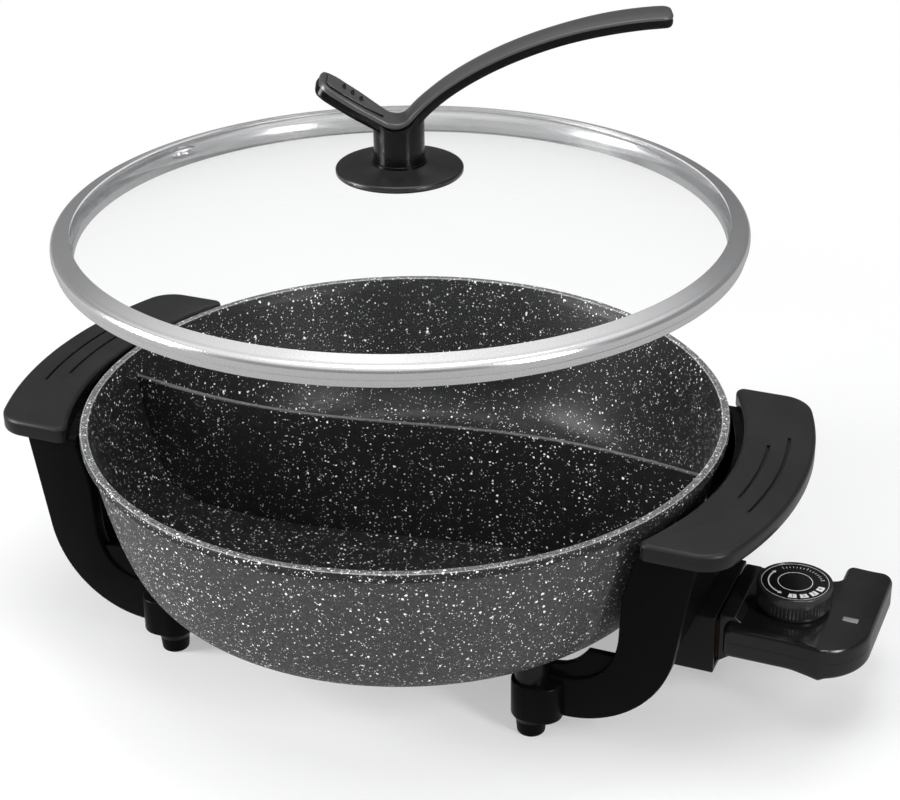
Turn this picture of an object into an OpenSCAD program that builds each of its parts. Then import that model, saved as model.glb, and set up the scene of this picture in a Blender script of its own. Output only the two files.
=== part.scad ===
// Electric hot pot with a two-part bowl, a lift-off glass lid and a plug-in thermostat.
// All sizes are millimetres. Z = 0 is the table, +X runs through the two grips towards the thermostat.

/* [Bowl] */
// Outer radius of the rim
rim_r = 165; // [155:1:175]
// Height of the rim's top face above the table
rim_z = 122.7; // [118:0.1:130]
// Height of the rim bead
rim_h = 5; // [4:0.5:7]
// Width of the rim's flat top face
rim_land = 4.5; // [4:0.1:5.5]
// How far the rim bead stands out from the wall below it
rim_step = 2.6; // [2:0.1:3.2]
// Wall thickness of the bowl
wall_t = 3.2; // [2.4:0.1:3.6]
// Thickness of the bowl's floor
floor_t = 4.5; // [3:0.1:6]
// Height of the bowl's underside above the table
base_z = 40.3; // [38:0.1:42]
// Radius of the flat part of the underside
base_flat_r = 121.7; // [118:0.1:124]

/* [Divider] */
// Thickness of the dividing wall
divider_t = 3; // [2.4:0.1:4]
// How far the dividing wall stops below the rim
divider_drop = 10.7; // [6:0.1:20]
// How far the S of the dividing wall swings to each side
divider_swing = 10.5; // [4:0.5:18]

/* [Heater] */
// Radius of the heating ring
ring_r = 88; // [82:1:92]
// Diameter of the heater's metal sheath
sheath_d = 8; // [7:0.1:8.5]
// Distance from the middle to each live pin
pin_y = 13; // [11.5:0.1:15]
// Diameter of a live pin
pin_d = 5; // [4:0.1:5.5]
// Radius of the heat shield under the ring
shield_r = 104; // [102:1:108]
// Sheet thickness of the heat shield
shield_t = 1; // [0.8:0.1:1.4]
// Outside diameter of the tube that takes the sensing rod
well_d = 8; // [7.6:0.1:8.4]
// Depth of the sensing rod's tube under the bowl, measured from the terminal plate
well_len = 88; // [70:1:100]

/* [Grips] */
// Gap between the rim and the grips' inner edge
grip_gap = 7; // [5:0.5:9]
// Width of a grip, from its inner edge to its outer edge
grip_w = 35.5; // [31:0.5:40]
// Half of a grip's length across its square-cut ends
grip_half = 85.5; // [83:0.5:90]
// Thickness of a grip
grip_t = 8.5; // [7:0.1:9.5]
// How far the grips' top face lies below the rim
grip_drop = 2.2; // [1:0.1:4]
// Corner radius at a grip's outer corners
grip_corner = 18; // [10:0.5:24]
// Rounding of a grip's top edge
grip_edge = 2.4; // [1:0.1:3]
// Distance from a grip's inner edge to the middle of its inner groove
groove_in = 13; // [10:0.5:15]
// Distance between a grip's two grooves
groove_pitch = 9.6; // [7:0.1:11]
// Half of the inner groove's length
groove_half = 28; // [20:0.5:34]
// Width of the grooves in a grip's top face
groove_w = 1.6; // [1:0.1:2.2]
// Depth of the grooves
groove_depth = 1.2; // [0.6:0.1:2]

/* [Leg frames] */
// Distance from the middle plane to a leg plate's outer face
leg_face_y = 79; // [77:0.5:82]
// Thickness of a leg plate
leg_t = 8; // [6:0.5:9]
// Lean of the leg's outer edge from the vertical, in degrees
leg_lean = 9.5; // [8:0.5:11]
// Radius of the leg's bend under the bowl
leg_bend = 55; // [53:0.5:56]
// Distance from the rim's edge in to the middle of the leg's bend
bend_in = 50; // [49:0.5:52]
// Height of the middle of the leg's bend
leg_bend_z = 66.7; // [66:0.1:68]
// Width of the leg's upright part
leg_w = 27; // [24:0.5:28]
// Height of the foot part's upper edge, next to its boss
foot_part_z = 33.5; // [30:0.5:36]
// How far the thin web in the crook of a leg is set back from the leg's faces
web_inset = 2; // [1:0.1:3]
// Height of the web in the crook
web_z = 51; // [48:0.5:54]
// Thickness of the skin between a frame's two leg plates
skin_t = 3; // [2:0.1:4]
// How far the skin lies inside the leg plates' outer edge
skin_inset = 2; // [1:0.1:3]
// Gap between the frames and the bowl
bowl_gap = 1.2; // [0.8:0.1:2]

/* [Feet] */
// Distance from the middle of the leg's bend in to a foot
foot_in = 15.8; // [13:0.1:19]
// Distance from a leg plate's outer face to a foot, across the grips' axis
foot_out = 0.4; // [-1:0.1:2]
// Diameter of a foot
foot_d = 15; // [13:0.5:17]
// Height of a foot below its boss
foot_h = 8; // [6:0.5:9]
// Radius of the boss above a foot
boss_r = 10; // [9:0.1:11]
// Height of the boss's top above the table
boss_top = 31; // [28:0.5:33]
// Diameter of the post between boss and bowl
post_d = 16.5; // [14:0.5:18]

/* [Socket] */
// Half width of the socket housing
guard_half = 29; // [28:0.5:32]
// Height of the socket housing's underside
guard_z0 = 20; // [18:0.5:21]
// Height of the socket housing's top
guard_z1 = 52; // [51:0.5:54]
// How far the socket's mouth stands out beyond the rim
guard_out = 10.5; // [9:0.5:13]
// Depth of the socket housing
guard_depth = 29.5; // [28:0.5:31]
// Wall thickness of the socket housing
guard_t = 2.5; // [2:0.1:2.8]

/* [Thermostat] */
// Height of the thermostat body's top face
body_z1 = 50; // [49:0.5:51]
// Height of the thermostat body's underside
body_z0 = 32; // [31:0.5:33]
// Half width of the thermostat body
body_half = 31; // [30:0.5:32]
// Half width of the thermostat's nose, which meets the socket
nose_half = 25.4; // [24:0.2:26]
// Half width of the plug that goes into the socket
plug_half = 22; // [20:0.5:23]
// Distance from the socket's mouth to the far face of the thermostat
body_len = 72; // [69:0.5:76]
// Width of the thermostat's tail, from its far face to the dial's side
tail_w = 24; // [22:0.5:24]
// Reach of the tail's near corner from the middle plane
tail_near = 34; // [33:0.5:35]
// Reach of the tail's cord end from the middle plane
tail_far = 48; // [46:0.5:52]
// Rounding of the thermostat's top and bottom edges
body_edge = 3; // [2:0.5:3.5]
// Wall thickness of the thermostat's two shells
shell_t = 2.2; // [1.8:0.1:2.4]
// Diameter of the sensing rod
rod_d = 6; // [5:0.1:6.2]
// Gap round the sensing rod and round the live pins
rod_gap = 0.2; // [0.1:0.05:0.3]
// Distance from the socket's mouth to the dial's axis
dial_out = 31.5; // [29:0.5:33]
// Radius of the dial
dial_r = 18.6; // [17:0.1:19]
// Height of the dial
dial_h = 13.2; // [11:0.1:15]
// Bore of the bush where the cord enters the tail
inlet_d = 7; // [6:0.1:7.4]

/* [Lid] */
// How far the lid's steel band stands out beyond the rim
lid_over = 4.5; // [3:0.5:7]
// Height of the lid's steel band
band_h = 10; // [9:0.5:11]
// Sheet thickness of the band
band_t = 1; // [0.6:0.1:1.2]
// Depth of the band's skirt inside the rim
skirt_h = 3; // [2:0.5:6]
// Thickness of the glass
glass_t = 4; // [3:0.1:4.2]
// Rise of the glass from its edge to its crown
glass_rise = 25; // [18:0.5:32]
// How high the lid is lifted off the rim at rest
lid_lift = 93; // [60:1:120]
// Gap between the lid's band and the rim when the lid is down
lid_gap = 0.3; // [0.2:0.1:0.5]
// Radius of the disc at the foot of the lid's handle
disc_r = 31; // [28:0.5:34]
// Radius of the stem of the lid's handle
stem_r = 12.3; // [11:0.1:13.5]
// Height of the handle's crook above the glass
crook_h = 26; // [23:0.5:30]
// Reach of the handle's long arm
long_arm = 129; // [110:1:140]
// Rise of the long arm's tip above the crook
long_rise = 51; // [40:1:58]
// Reach of the handle's short arm
short_arm = 36; // [30:0.5:42]
// Thickness of the handle's arms
arm_t = 7; // [6:0.1:8]
// Thickness of the handle's top shell
cover_t = 2.6; // [2:0.1:3]
// Width of the short arm
short_w = 25; // [22:0.5:28]
// Width of the long arm at its tip
tip_w = 20.6; // [18:0.2:24]
// Width of the handle at its waist
waist_w = 17.2; // [15:0.2:20]
// Turn of the lid's handle from the grips' axis, in degrees
handle_turn = 24; // [0:1:90]
// Distance from the glass's edge in to the steam vent
vent_in = 23.5; // [18:0.5:36]
// Bore of the steam vent
vent_d = 6; // [4:0.5:7]

/* [Screws] */
// Shank diameter of the screws through the feet and the heat shield
frame_screw_d = 4; // [3.4:0.1:4]
// Shank diameter of the grips' and the socket's screws
small_screw_d = 3.2; // [2.8:0.1:3.4]
// Shank diameter of the thermostat's shell screws
shell_screw_d = 2.8; // [2.4:0.1:3]
// Shank diameter of the screw up the lid handle's stem
stem_screw_d = 4.4; // [3.6:0.1:4.6]

/* [Hidden] */
$fn = 96;
eps = 0.01;
curve_steps = 18;
arc_steps = 6;

// ---- derived places ----
wall_top_r = rim_r - rim_step;
wall_top_z = rim_z - rim_h;
rim_in_r = rim_r - rim_land;
divider_top = rim_z - divider_drop;
heater_z = base_z - sheath_d / 2;
guard_x = rim_r + guard_out;
plate_x = guard_x - guard_depth;
plate_t = 4;
ear_w = 7;
grip_in_r = rim_r + grip_gap;
grip_r = grip_in_r + grip_w;
grip_z1 = rim_z - grip_drop;
grip_z0 = grip_z1 - grip_t;
deck_t = 3;
leg_bend_x = rim_r - bend_in;
leg_bottom = leg_bend_z - leg_bend;
foot_x = leg_bend_x - foot_in;
foot_y = leg_face_y + foot_out;
shield_z = heater_z - sheath_d / 2 - shield_t - 1;
plug_z = (guard_z0 + guard_z1) / 2;
nose_x = guard_x + 1;
nose_z0 = guard_z0 + 5;
tail_x = guard_x + body_len;
dial_x = guard_x + dial_out;
parting_z = (body_z0 + body_z1) / 2;
dial_z0 = body_z1 + 0.5;
dial_z1 = dial_z0 + dial_h;
inlet_x = tail_x - tail_w / 2;
shaft_d = 6;
stub_d = 3;
shaft_play = 0.05;
lid_r = rim_r + lid_over;
band_z0 = rim_z + lid_gap + lid_lift;
band_z1 = band_z0 + band_h;
glass_r = lid_r - 3;
vent_x = glass_r - vent_in;
glass_edge_z = band_z1 - 1.2 * band_t;
crown_z = glass_edge_z + glass_rise;
dome_r = (glass_r * glass_r + glass_rise * glass_rise) / (2 * glass_rise);
arm_z = crown_z + crook_h;

// ---- helpers ----
function arc(cx, cy, r, a0, a1, n = arc_steps) =
    [for (i = [0:n]) let (a = a0 + (a1 - a0) * i / n) [cx + r * cos(a), cy + r * sin(a)]];

function reversed(list) = [for (i = [len(list) - 1:-1:0]) list[i]];

function bezier(p0, p1, p2, p3, n) =
    [for (i = [0:n]) let (t = i / n, s = 1 - t)
        s * s * s * p0 + 3 * s * s * t * p1 + 3 * s * t * t * p2 + t * t * t * p3];

// a profile in X and Z, extruded along Y between y0 and y1
module slab_y(y0, y1) translate([0, y1, 0]) rotate([90, 0, 0]) linear_extrude(y1 - y0) children();

module four_feet() for (sx = [-1, 1], sy = [-1, 1]) translate([sx * foot_x, sy * foot_y, 0]) children();

// a pan head under a plain shank; the head's radius is the shank's diameter times its share
module pan_screw(d, length, share = 1) {
    head_r = d * share;
    head_h = 0.55 * d;
    difference() {
        cylinder(r = head_r, h = head_h);
        translate([-head_r * 0.6, -0.5, -eps]) cube([head_r * 1.2, 1, head_h * 0.5]);
        translate([-0.5, -head_r * 0.6, -eps]) cube([1, head_r * 1.2, head_h * 0.5]);
    }
    translate([0, 0, head_h]) cylinder(d = d, h = length);
}

// ---- bowl ----
// the wall's curve, from the rim down to the edge of the flat floor
function bowl_curve(top_r, flat_r, low_z) =
    [for (i = [0:curve_steps]) let (a = 90 * i / curve_steps)
        [flat_r + (top_r - flat_r) * pow(cos(a), 0.6),
         low_z + (wall_top_z - low_z) * (1 - pow(sin(a), 2.3))]];

// everything inside the bowl's outer surface, grown by a gap
module bowl_outside(gap = 0)
    rotate_extrude($fn = 180) polygon(concat(
        [[0, rim_z + 1]],
        [[wall_top_r + gap, rim_z + 1]],
        bowl_curve(wall_top_r + gap, base_flat_r + gap, base_z - gap),
        [[0, base_z - gap]]));

module bowl_hollow()
    rotate_extrude($fn = 180) polygon(concat(
        [[0, rim_z + 1], [wall_top_r - wall_t, rim_z + 1]],
        bowl_curve(wall_top_r - wall_t, base_flat_r, base_z + floor_t),
        [[0, base_z + floor_t]]));

module pot_bowl() {
    rounding = 1;
    color("dimgray") rotate_extrude($fn = 180) polygon(concat(
        [[0, base_z]],
        reversed(bowl_curve(wall_top_r, base_flat_r, base_z)),
        arc(rim_r - rounding, wall_top_z + rounding, rounding, -90, 0, 3),
        arc(rim_r - rounding, rim_z - rounding, rounding, 0, 90, 4),
        arc(rim_in_r + rounding, rim_z - rounding, rounding, 90, 180, 4),
        bowl_curve(wall_top_r - wall_t, base_flat_r, base_z + floor_t),
        [[0, base_z + floor_t]]));
}

// ---- divider: an S-shaped wall welded across the bowl ----
module divider() {
    half = rim_r;
    step = half / 16;
    function swing(x) = divider_swing * sin(180 * x / half);
    xs = [for (i = [-16:16]) i * step];
    color("black") intersection() {
        translate([0, 0, base_z]) linear_extrude(divider_top - base_z) polygon(concat(
            [for (x = xs) [x, swing(x) - divider_t / 2]],
            [for (x = reversed(xs)) [x, swing(x) + divider_t / 2]]));
        bowl_hollow();
    }
}

// ---- heater ----
// an open ring whose two cold ends turn outwards to the terminal plate
module heating_element() {
    turn = asin((pin_y + sheath_d / 2) / ring_r);
    end_x = ring_r * cos(turn) - 1;
    color("silver") translate([0, 0, heater_z]) {
        rotate([0, 0, turn]) rotate_extrude(angle = 360 - 2 * turn)
            translate([ring_r, 0]) circle(d = sheath_d);
        for (s = [-1, 1]) translate([end_x - 3, s * pin_y, 0]) rotate([0, 90, 0])
            cylinder(d = sheath_d, h = plate_x - end_x + 3);
    }
}

module sensor_well()
    color("silver") translate([plate_x - well_len, 0, heater_z]) rotate([0, 90, 0]) difference() {
        cylinder(d = well_d, h = well_len + plate_t);
        translate([0, 0, 3]) cylinder(d = rod_d + 2 * rod_gap, h = well_len + plate_t);
    }

module terminal_plate() {
    half = guard_half - guard_t - 4;
    z0 = guard_z0 + guard_t + 2;
    z1 = guard_z1 - guard_t - 2;
    color("white") difference() {
        translate([plate_x, -half, z0]) cube([plate_t, 2 * half, z1 - z0]);
        translate([plate_x - 1, 0, heater_z]) rotate([0, 90, 0]) cylinder(d = well_d, h = plate_t + 2);
        for (s = [-1, 1]) translate([plate_x - 1, s * pin_y, heater_z]) rotate([0, 90, 0])
            cylinder(d = pin_d, h = plate_t + 2);
        bowl_outside(bowl_gap);
    }
}

module live_pins()
    color("silver") for (s = [-1, 1]) translate([plate_x, s * pin_y, heater_z]) rotate([0, 90, 0]) {
        cylinder(d = pin_d, h = plate_t + 16);
        translate([0, 0, plate_t + 16]) cylinder(d1 = pin_d, d2 = pin_d - 2, h = 2);
    }

module shield_screw_places()
    for (a = [90, 210, 330])
        rotate([0, 0, a]) translate([ring_r - 28, 0, shield_z]) children();

module heat_shield() {
    notch = pin_y + sheath_d / 2 + 2;
    color("slategray") difference() {
        rotate_extrude() polygon([
            [0, shield_z], [shield_r - 4, shield_z], [shield_r, shield_z + 4], [shield_r, base_z],
            [shield_r - shield_t, base_z], [shield_r - shield_t, shield_z + 4.4],
            [shield_r - 4.4, shield_z + shield_t], [0, shield_z + shield_t]]);
        translate([shield_r - 14, -notch, shield_z + 2]) cube([20, 2 * notch, base_z]);
        shield_screw_places() translate([0, 0, -1]) cylinder(d = frame_screw_d + 0.2, h = 4);
    }
}

module shield_screws()
    color("silver") shield_screw_places() translate([0, 0, -0.55 * frame_screw_d]) {
        pan_screw(frame_screw_d, shield_t);
        translate([0, 0, 0.55 * frame_screw_d + shield_t])
            cylinder(r = frame_screw_d, h = base_z - shield_z - shield_t);
    }

module mounting_posts()
    color("dimgray") difference() {
        four_feet() translate([0, 0, boss_top]) cylinder(d = post_d, h = 14);
        bowl_outside();
        four_feet() cylinder(d = frame_screw_d, h = base_z - 2);
    }

// ---- leg frames ----
// the leg's outer edge, from the grip down round the bend, moved inwards by an inset
function leg_edge(inset, last = 90) = let (
        r = leg_bend - inset,
        tan_x = leg_bend_x + r * cos(leg_lean),
        tan_z = leg_bend_z - r * sin(leg_lean))
    concat(
        [[tan_x + (grip_z0 - tan_z) * tan(leg_lean), grip_z0]],
        arc(leg_bend_x, leg_bend_z, r, -leg_lean, -last, 14));

// distance from the bowl's axis to the leg's inner edge at the height of the bend's middle
leg_inner_x = leg_bend_x + leg_bend - leg_w;

module leg_plate(side) {
    edge = leg_edge(0);
    foot_in_x = foot_x + boss_r;
    y0 = side > 0 ? leg_face_y - leg_t : -leg_face_y;
    slab_y(y0, y0 + leg_t) polygon(concat(
        edge, [[foot_x, leg_bottom], [foot_x, foot_part_z]],
        bezier([foot_in_x, foot_part_z], [foot_in_x + 18, foot_part_z],
            [leg_inner_x - 1, web_z - 10], [leg_inner_x - 1, leg_bend_z], 8),
        [[leg_inner_x, leg_bend_z + 20], [edge[0][0] - leg_w - 1.5, grip_z0]]));
    slab_y(y0 + web_inset, y0 + leg_t - web_inset) polygon([
        [foot_x, foot_part_z - 2], [foot_x, web_z],
        [leg_inner_x + 2, web_z], [leg_inner_x + 2, foot_part_z - 2]]);
}

module foot_boss() {
    chamfer = 3.5;
    boss_z = foot_h + chamfer;
    reach = 6;
    translate([0, 0, boss_z]) {
        cylinder(r = boss_r, h = boss_top - boss_z);
        translate([reach, 0, 0]) cylinder(r = boss_r, h = boss_top - boss_z);
        translate([0, -boss_r, 0]) cube([reach, 2 * boss_r, boss_top - boss_z]);
    }
    translate([0, 0, foot_h]) cylinder(r1 = boss_r - chamfer * 0.6, r2 = boss_r, h = chamfer);
}

// two screws above each leg plate and two towards the middle of the grip
module grip_screw_places()
    for (s = [-1, 1]) {
        translate([grip_in_r - 1.5, s * (leg_face_y - leg_t / 2), 0]) children();
        translate([grip_in_r + 9, s * grip_half * 0.35, 0]) children();
    }

// one moulding with two legs, the skin between them and the deck that carries the grip
module leg_frame(socket) {
    inner_y = leg_face_y - leg_t;
    skin_end = 45;
    outer = leg_edge(skin_inset, skin_end);
    inner = leg_edge(skin_inset + skin_t, skin_end);
    deck_x = grip_in_r + 16;
    deck_z = grip_z0 - deck_t;
    fit = 0.3;
    socket_y = guard_half + fit;
    lug_w = ear_w;
    lug_x = plate_x + plate_t;
    color("black") difference() {
        union() {
            for (s = [-1, 1]) {
                leg_plate(s);
                translate([foot_x, s * foot_y, 0]) foot_boss();
            }
            slab_y(-inner_y - 1, inner_y + 1) polygon(concat(outer, reversed(inner)));
            translate([rim_r - 25, -leg_face_y, deck_z]) cube([deck_x - rim_r + 25, 2 * leg_face_y, deck_t]);
            if (socket) for (y = [-socket_y - lug_w, socket_y]) slab_y(y, y + lug_w)
                polygon([[lug_x, plug_z - 8], [lug_x, guard_z1 - 2], [lug_x + 12.5, guard_z1 + 4],
                    [lug_x + 13, guard_z1 - 4], [lug_x + 4, plug_z - 8]]);
        }
        bowl_outside(bowl_gap);
        translate([0, 0, deck_z - 1]) cylinder(r = grip_in_r - 4, h = deck_t + 2);
        for (s = [-1, 1]) translate([foot_x, s * foot_y, 0]) {
            translate([0, 0, -1]) cylinder(d = frame_screw_d + 0.6, h = boss_top + 2);
            translate([0, 0, boss_top]) cylinder(d = post_d + 0.4, h = 30);
        }
        grip_screw_places() translate([0, 0, deck_z - 1]) cylinder(d = small_screw_d + 0.8, h = deck_t + 2);
        grip_screw_places() translate([0, 0, deck_z - leg_w]) cylinder(r = small_screw_d + 0.4, h = leg_w);
        if (socket) translate([plate_x, -socket_y, guard_z0 - fit])
            cube([guard_depth + 10, 2 * socket_y, guard_z1 - guard_z0 + 2 * fit]);
        if (socket) socket_screw_places() cylinder(d = small_screw_d + 0.2, h = 4 * plate_t);
    }
}

module leg_frame_right() leg_frame(true);
module leg_frame_left() mirror([1, 0, 0]) leg_frame(false);

// ---- grips ----
// a grip's outline without its hollowed inner edge, shrunk by an inset
module grip_outline(inset) {
    r = grip_r - inset;
    half = grip_half - inset;
    c = grip_corner - inset;
    cy = half - c;
    cx = sqrt((r - c) * (r - c) - cy * cy);
    turn = atan2(cy, cx);
    polygon(concat(
        arc(0, 0, r, -turn, turn, 20), arc(cx, cy, c, turn, 90, 8),
        [[100, half], [100, -half]], arc(cx, -cy, c, -90, -turn, 8)));
}

module grip() {
    color("black") difference() {
        hull() {
            translate([0, 0, grip_z0]) linear_extrude(eps) grip_outline(0.8);
            translate([0, 0, grip_z0 + 0.8]) linear_extrude(grip_t - 0.8 - grip_edge) grip_outline(0);
            for (a = [30, 60, 90]) translate([0, 0, grip_z1 - grip_edge * (1 - sin(a)) - eps])
                linear_extrude(eps) grip_outline(grip_edge * (1 - cos(a)));
        }
        translate([0, 0, grip_z0 - 1]) cylinder(r = grip_in_r, h = grip_t + 2, $fn = 180);
        grip_groove(grip_in_r + groove_in, groove_half);
        grip_groove(grip_in_r + groove_in + groove_pitch, 1.4 * groove_half);
        grip_screw_places() translate([0, 0, grip_z0 - 1]) cylinder(d = small_screw_d, h = 6.5);
    }
}

module grip_groove(r, half_len) {
    turn = asin(half_len / r);
    translate([0, 0, grip_z1 - groove_depth]) rotate([0, 0, -turn])
        rotate_extrude(angle = 2 * turn) translate([r - groove_w / 2, 0])
            square([groove_w, groove_depth + 1]);
}

module grip_right() grip();
module grip_left() mirror([1, 0, 0]) grip();

module grip_screws()
    color("silver") for (s = [0, 1]) mirror([s, 0, 0])
        grip_screw_places() translate([0, 0, grip_z0 - deck_t - 0.55 * small_screw_d])
            pan_screw(small_screw_d, deck_t + 5);

// ---- feet ----
module foot() {
    edge_r = 1.2;
    flat_r = foot_d / 2 - 0.5 - edge_r;
    color("black") difference() {
        rotate_extrude() polygon(concat(
            [[0, 0]], arc(flat_r, edge_r, edge_r, -90, 0, 4),
            [[foot_d / 2, foot_h - 1], [foot_d / 2, foot_h], [0, foot_h]]));
        translate([0, 0, -1]) cylinder(r = 0.8 * frame_screw_d + 0.2, h = foot_h - 2);
        translate([0, 0, -1]) cylinder(d = frame_screw_d + 0.6, h = foot_h + 2);
    }
}

module foot_at(sx, sy) translate([sx * foot_x, sy * foot_y, 0]) foot();

module frame_screws()
    color("silver") four_feet() translate([0, 0, foot_h - 3 - 0.55 * frame_screw_d])
        pan_screw(frame_screw_d, base_z - foot_h - 1, 0.8);

// ---- socket housing round the live pins ----
module socket_screw_places()
    for (s = [-1, 1]) translate([plate_x, s * (guard_half + ear_w / 2), plug_z - 2]) rotate([0, 90, 0])
        children();

module socket_housing()
    color("black") difference() {
        union() {
            translate([plate_x, -guard_half, guard_z0])
                cube([guard_x - plate_x, 2 * guard_half, guard_z1 - guard_z0]);
            for (y = [-guard_half - ear_w, guard_half]) translate([plate_x, y, guard_z0 + 4])
                cube([plate_t, ear_w, guard_z1 - guard_z0 - 12]);
        }
        translate([plate_x + 4, -guard_half + guard_t, guard_z0 + guard_t])
            cube([guard_x, 2 * (guard_half - guard_t), guard_z1 - guard_z0 - 2 * guard_t]);
        translate([plate_x - 1, -guard_half + guard_t + 4, guard_z0 + guard_t + 2])
            cube([10, 2 * (guard_half - guard_t - 4), guard_z1 - guard_z0 - 2 * guard_t - 4]);
        bowl_outside(bowl_gap);
        socket_screw_places() translate([0, 0, -1]) cylinder(d = small_screw_d + 0.2, h = 6);
    }

module socket_screws()
    color("silver") socket_screw_places() translate([0, 0, -0.55 * small_screw_d])
        pan_screw(small_screw_d, 2 * plate_t + 1);

// ---- thermostat ----
// the plan of the body: straight sides, a flare to the near corner, a sweep round the far face,
// the tail that carries the cord's bush and the notch between the tail and the dial's side
function body_plan(inset) = let (
        back = 4, near = 1.5, outer = 7, inner = 4, notch = 5, sweep = 29, flare = 30, flare_turn = 12,
        turn = 70, back_x = nose_x + 3, side_x = tail_x - tail_w,
        sweep_y = (sweep - near) * sin(turn) + near - tail_near,
        near_x = tail_x - sweep + (sweep - near) * cos(turn))
    concat(
        arc(back_x + back, back - body_half, back - inset, 180, 270, 4),
        arc(tail_x - 38, -body_half - flare, flare + inset, 90, 90 - flare_turn, 3),
        arc(near_x, near - tail_near, near + 0.001 - inset * 0.3, -90 - flare_turn, -turn, 3),
        arc(tail_x - sweep, sweep_y, sweep - inset, 6 - turn, 0, 9),
        arc(tail_x - outer, tail_far - outer, outer - inset, 0, 90, 6),
        arc(side_x + inner, tail_far - inner, inner - inset, 90, 180, 4),
        arc(side_x - notch, body_half + notch, notch + inset, 0, -90, 4),
        arc(back_x + back, body_half - back, back - inset, 90, 180, 4));

// a closed skin over a stack of outlines that all have the same number of points
module loft(rings) {
    n = len(rings[0]);
    last = (len(rings) - 1) * n;
    polyhedron(
        points = [for (ring = rings, p = ring) p],
        faces = concat(
            [[for (i = [0:n - 1]) i]],
            [for (j = [0:n:last - n], i = [0:n - 1]) [j + i, j + n + i, j + n + (i + 1) % n]],
            [for (j = [0:n:last - n], i = [0:n - 1]) [j + i, j + n + (i + 1) % n, j + (i + 1) % n]],
            [[for (i = [n - 1:-1:0]) last + i]]));
}

function at_height(outline, z) = [for (p = outline) [p[0], p[1], z]];

// the nose slopes up from the socket's underside to the body's underside
module nose() slab_y(-nose_half, nose_half) polygon([
    [nose_x, nose_z0], [nose_x, guard_z1 + 0.5], [nose_x + 7.5, guard_z1 + 0.5],
    [nose_x + 12.6, body_z1 - 1.2], [nose_x + 12.6, body_z0 + 1.2], [nose_x + 6, body_z0 - 2.5]]);

// the whole outside, with its top and bottom edges rounded
module thermostat_solid() {
    turns = [0, 30, 60, 90];
    difference() {
        intersection() {
            loft(concat(
                [at_height(body_plan(body_edge), body_z0 - 1)],
                [for (a = reversed(turns))
                    at_height(body_plan(body_edge * (1 - cos(a))), body_z0 + body_edge * (1 - sin(a)))],
                [for (a = turns)
                    at_height(body_plan(body_edge * (1 - cos(a))), body_z1 - body_edge * (1 - sin(a)))],
                [at_height(body_plan(body_edge), body_z1 + 1)]));
            translate([nose_x, -60, body_z0]) cube([100, 120, body_z1 - body_z0]);
        }
        finger_dish();
    }
}

// the shallow hollow along the top of the tail, where a thumb pulls the plug out
module finger_dish() {
    dish_r = 60;
    depth = 1.5;
    translate([tail_x - 10, -60, body_z1 - depth + dish_r]) rotate([-90, 0, 0])
        cylinder(r = dish_r, h = 140);
}

module body_cavity() {
    z0 = body_z0 + shell_t;
    depth = body_z1 - body_z0 - 2 * shell_t;
    inner = body_half - shell_t - 1;
    translate([nose_x + 4, -plug_half + 2, z0]) cube([30, 2 * plug_half - 4, depth]);
    translate([nose_x + 13, -inner, z0]) cube([tail_x - 34 - nose_x - 13, 2 * inner, depth]);
    translate([tail_x - 36, -plug_half + 3, z0])
        cube([32, tail_far - 12 + plug_half - 3, depth - 1.5]);
}

// the plug stands out of the nose into the socket, and its thinner root is clamped between the shells
module plug_shape() {
    plug_back = 5;
    plug_len = 15;
    half_h = plug_z - nose_z0;
    translate([nose_x - plug_len, -plug_half, nose_z0])
        cube([plug_len, 2 * plug_half, 2 * half_h]);
    translate([nose_x - plug_len, -plug_half, body_z0])
        cube([plug_len + plug_back, 2 * plug_half, nose_z0 + 2 * half_h - body_z0]);
}

module cover_screw_places()
    for (p = [[nose_x + 17, -body_half + 7.2], [nose_x + 17, body_half - 7.2], [tail_x - 15, -plug_half]])
        translate([p[0], p[1], 0]) children();

module at_inlet() translate([inlet_x, tail_far, parting_z]) rotate([90, 0, 0]) children();

// everything that both shells are hollowed or bored by
module shell_cuts() {
    difference() {
        body_cavity();
        cover_screw_places() cylinder(r = 4.4, h = 100);
    }
    plug_shape();
    translate([nose_x, -plug_half + 2, body_z0 + shell_t])
        cube([6, 2 * plug_half - 4, body_z1 - body_z0 - 2 * shell_t]);
    translate([nose_x - 1, 0, heater_z]) rotate([0, 90, 0]) cylinder(d = rod_d, h = 12);
    at_inlet() translate([0, 0, -1]) cylinder(d = inlet_d + 3, h = 20);
    at_inlet() translate([0, 0, 4]) cylinder(d = inlet_d + 6, h = 2);
}

module thermostat_base()
    color("black") difference() {
        intersection() {
            union() {
                thermostat_solid();
                nose();
            }
            translate([nose_x - 5, -60, 0]) cube([120, 120, parting_z]);
        }
        shell_cuts();
        cover_screw_places() translate([0, 0, body_z0 - 1]) cylinder(d = shell_screw_d + 0.6, h = 40);
        cover_screw_places() translate([0, 0, body_z0 - 1])
            cylinder(r = shell_screw_d + 0.4, h = shell_t + 1.2);
    }

module thermostat_cover()
    color("black") difference() {
        intersection() {
            union() {
                thermostat_solid();
                nose();
            }
            translate([nose_x - 5, -60, parting_z]) cube([120, 120, 40]);
        }
        shell_cuts();
        cover_screw_places() cylinder(d = shell_screw_d, h = body_z1 - 3);
        translate([dial_x, 0, body_z1 - 5]) cylinder(d = shaft_d + 2 * shaft_play, h = 10);
        lens_shape();
    }

module lens_shape() translate([tail_x - 16, -3, body_z1 - 5.5]) cube([8, 4, 20]);

module lamp_lens()
    color("lightgray") intersection() {
        lens_shape();
        thermostat_solid();
    }

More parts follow.
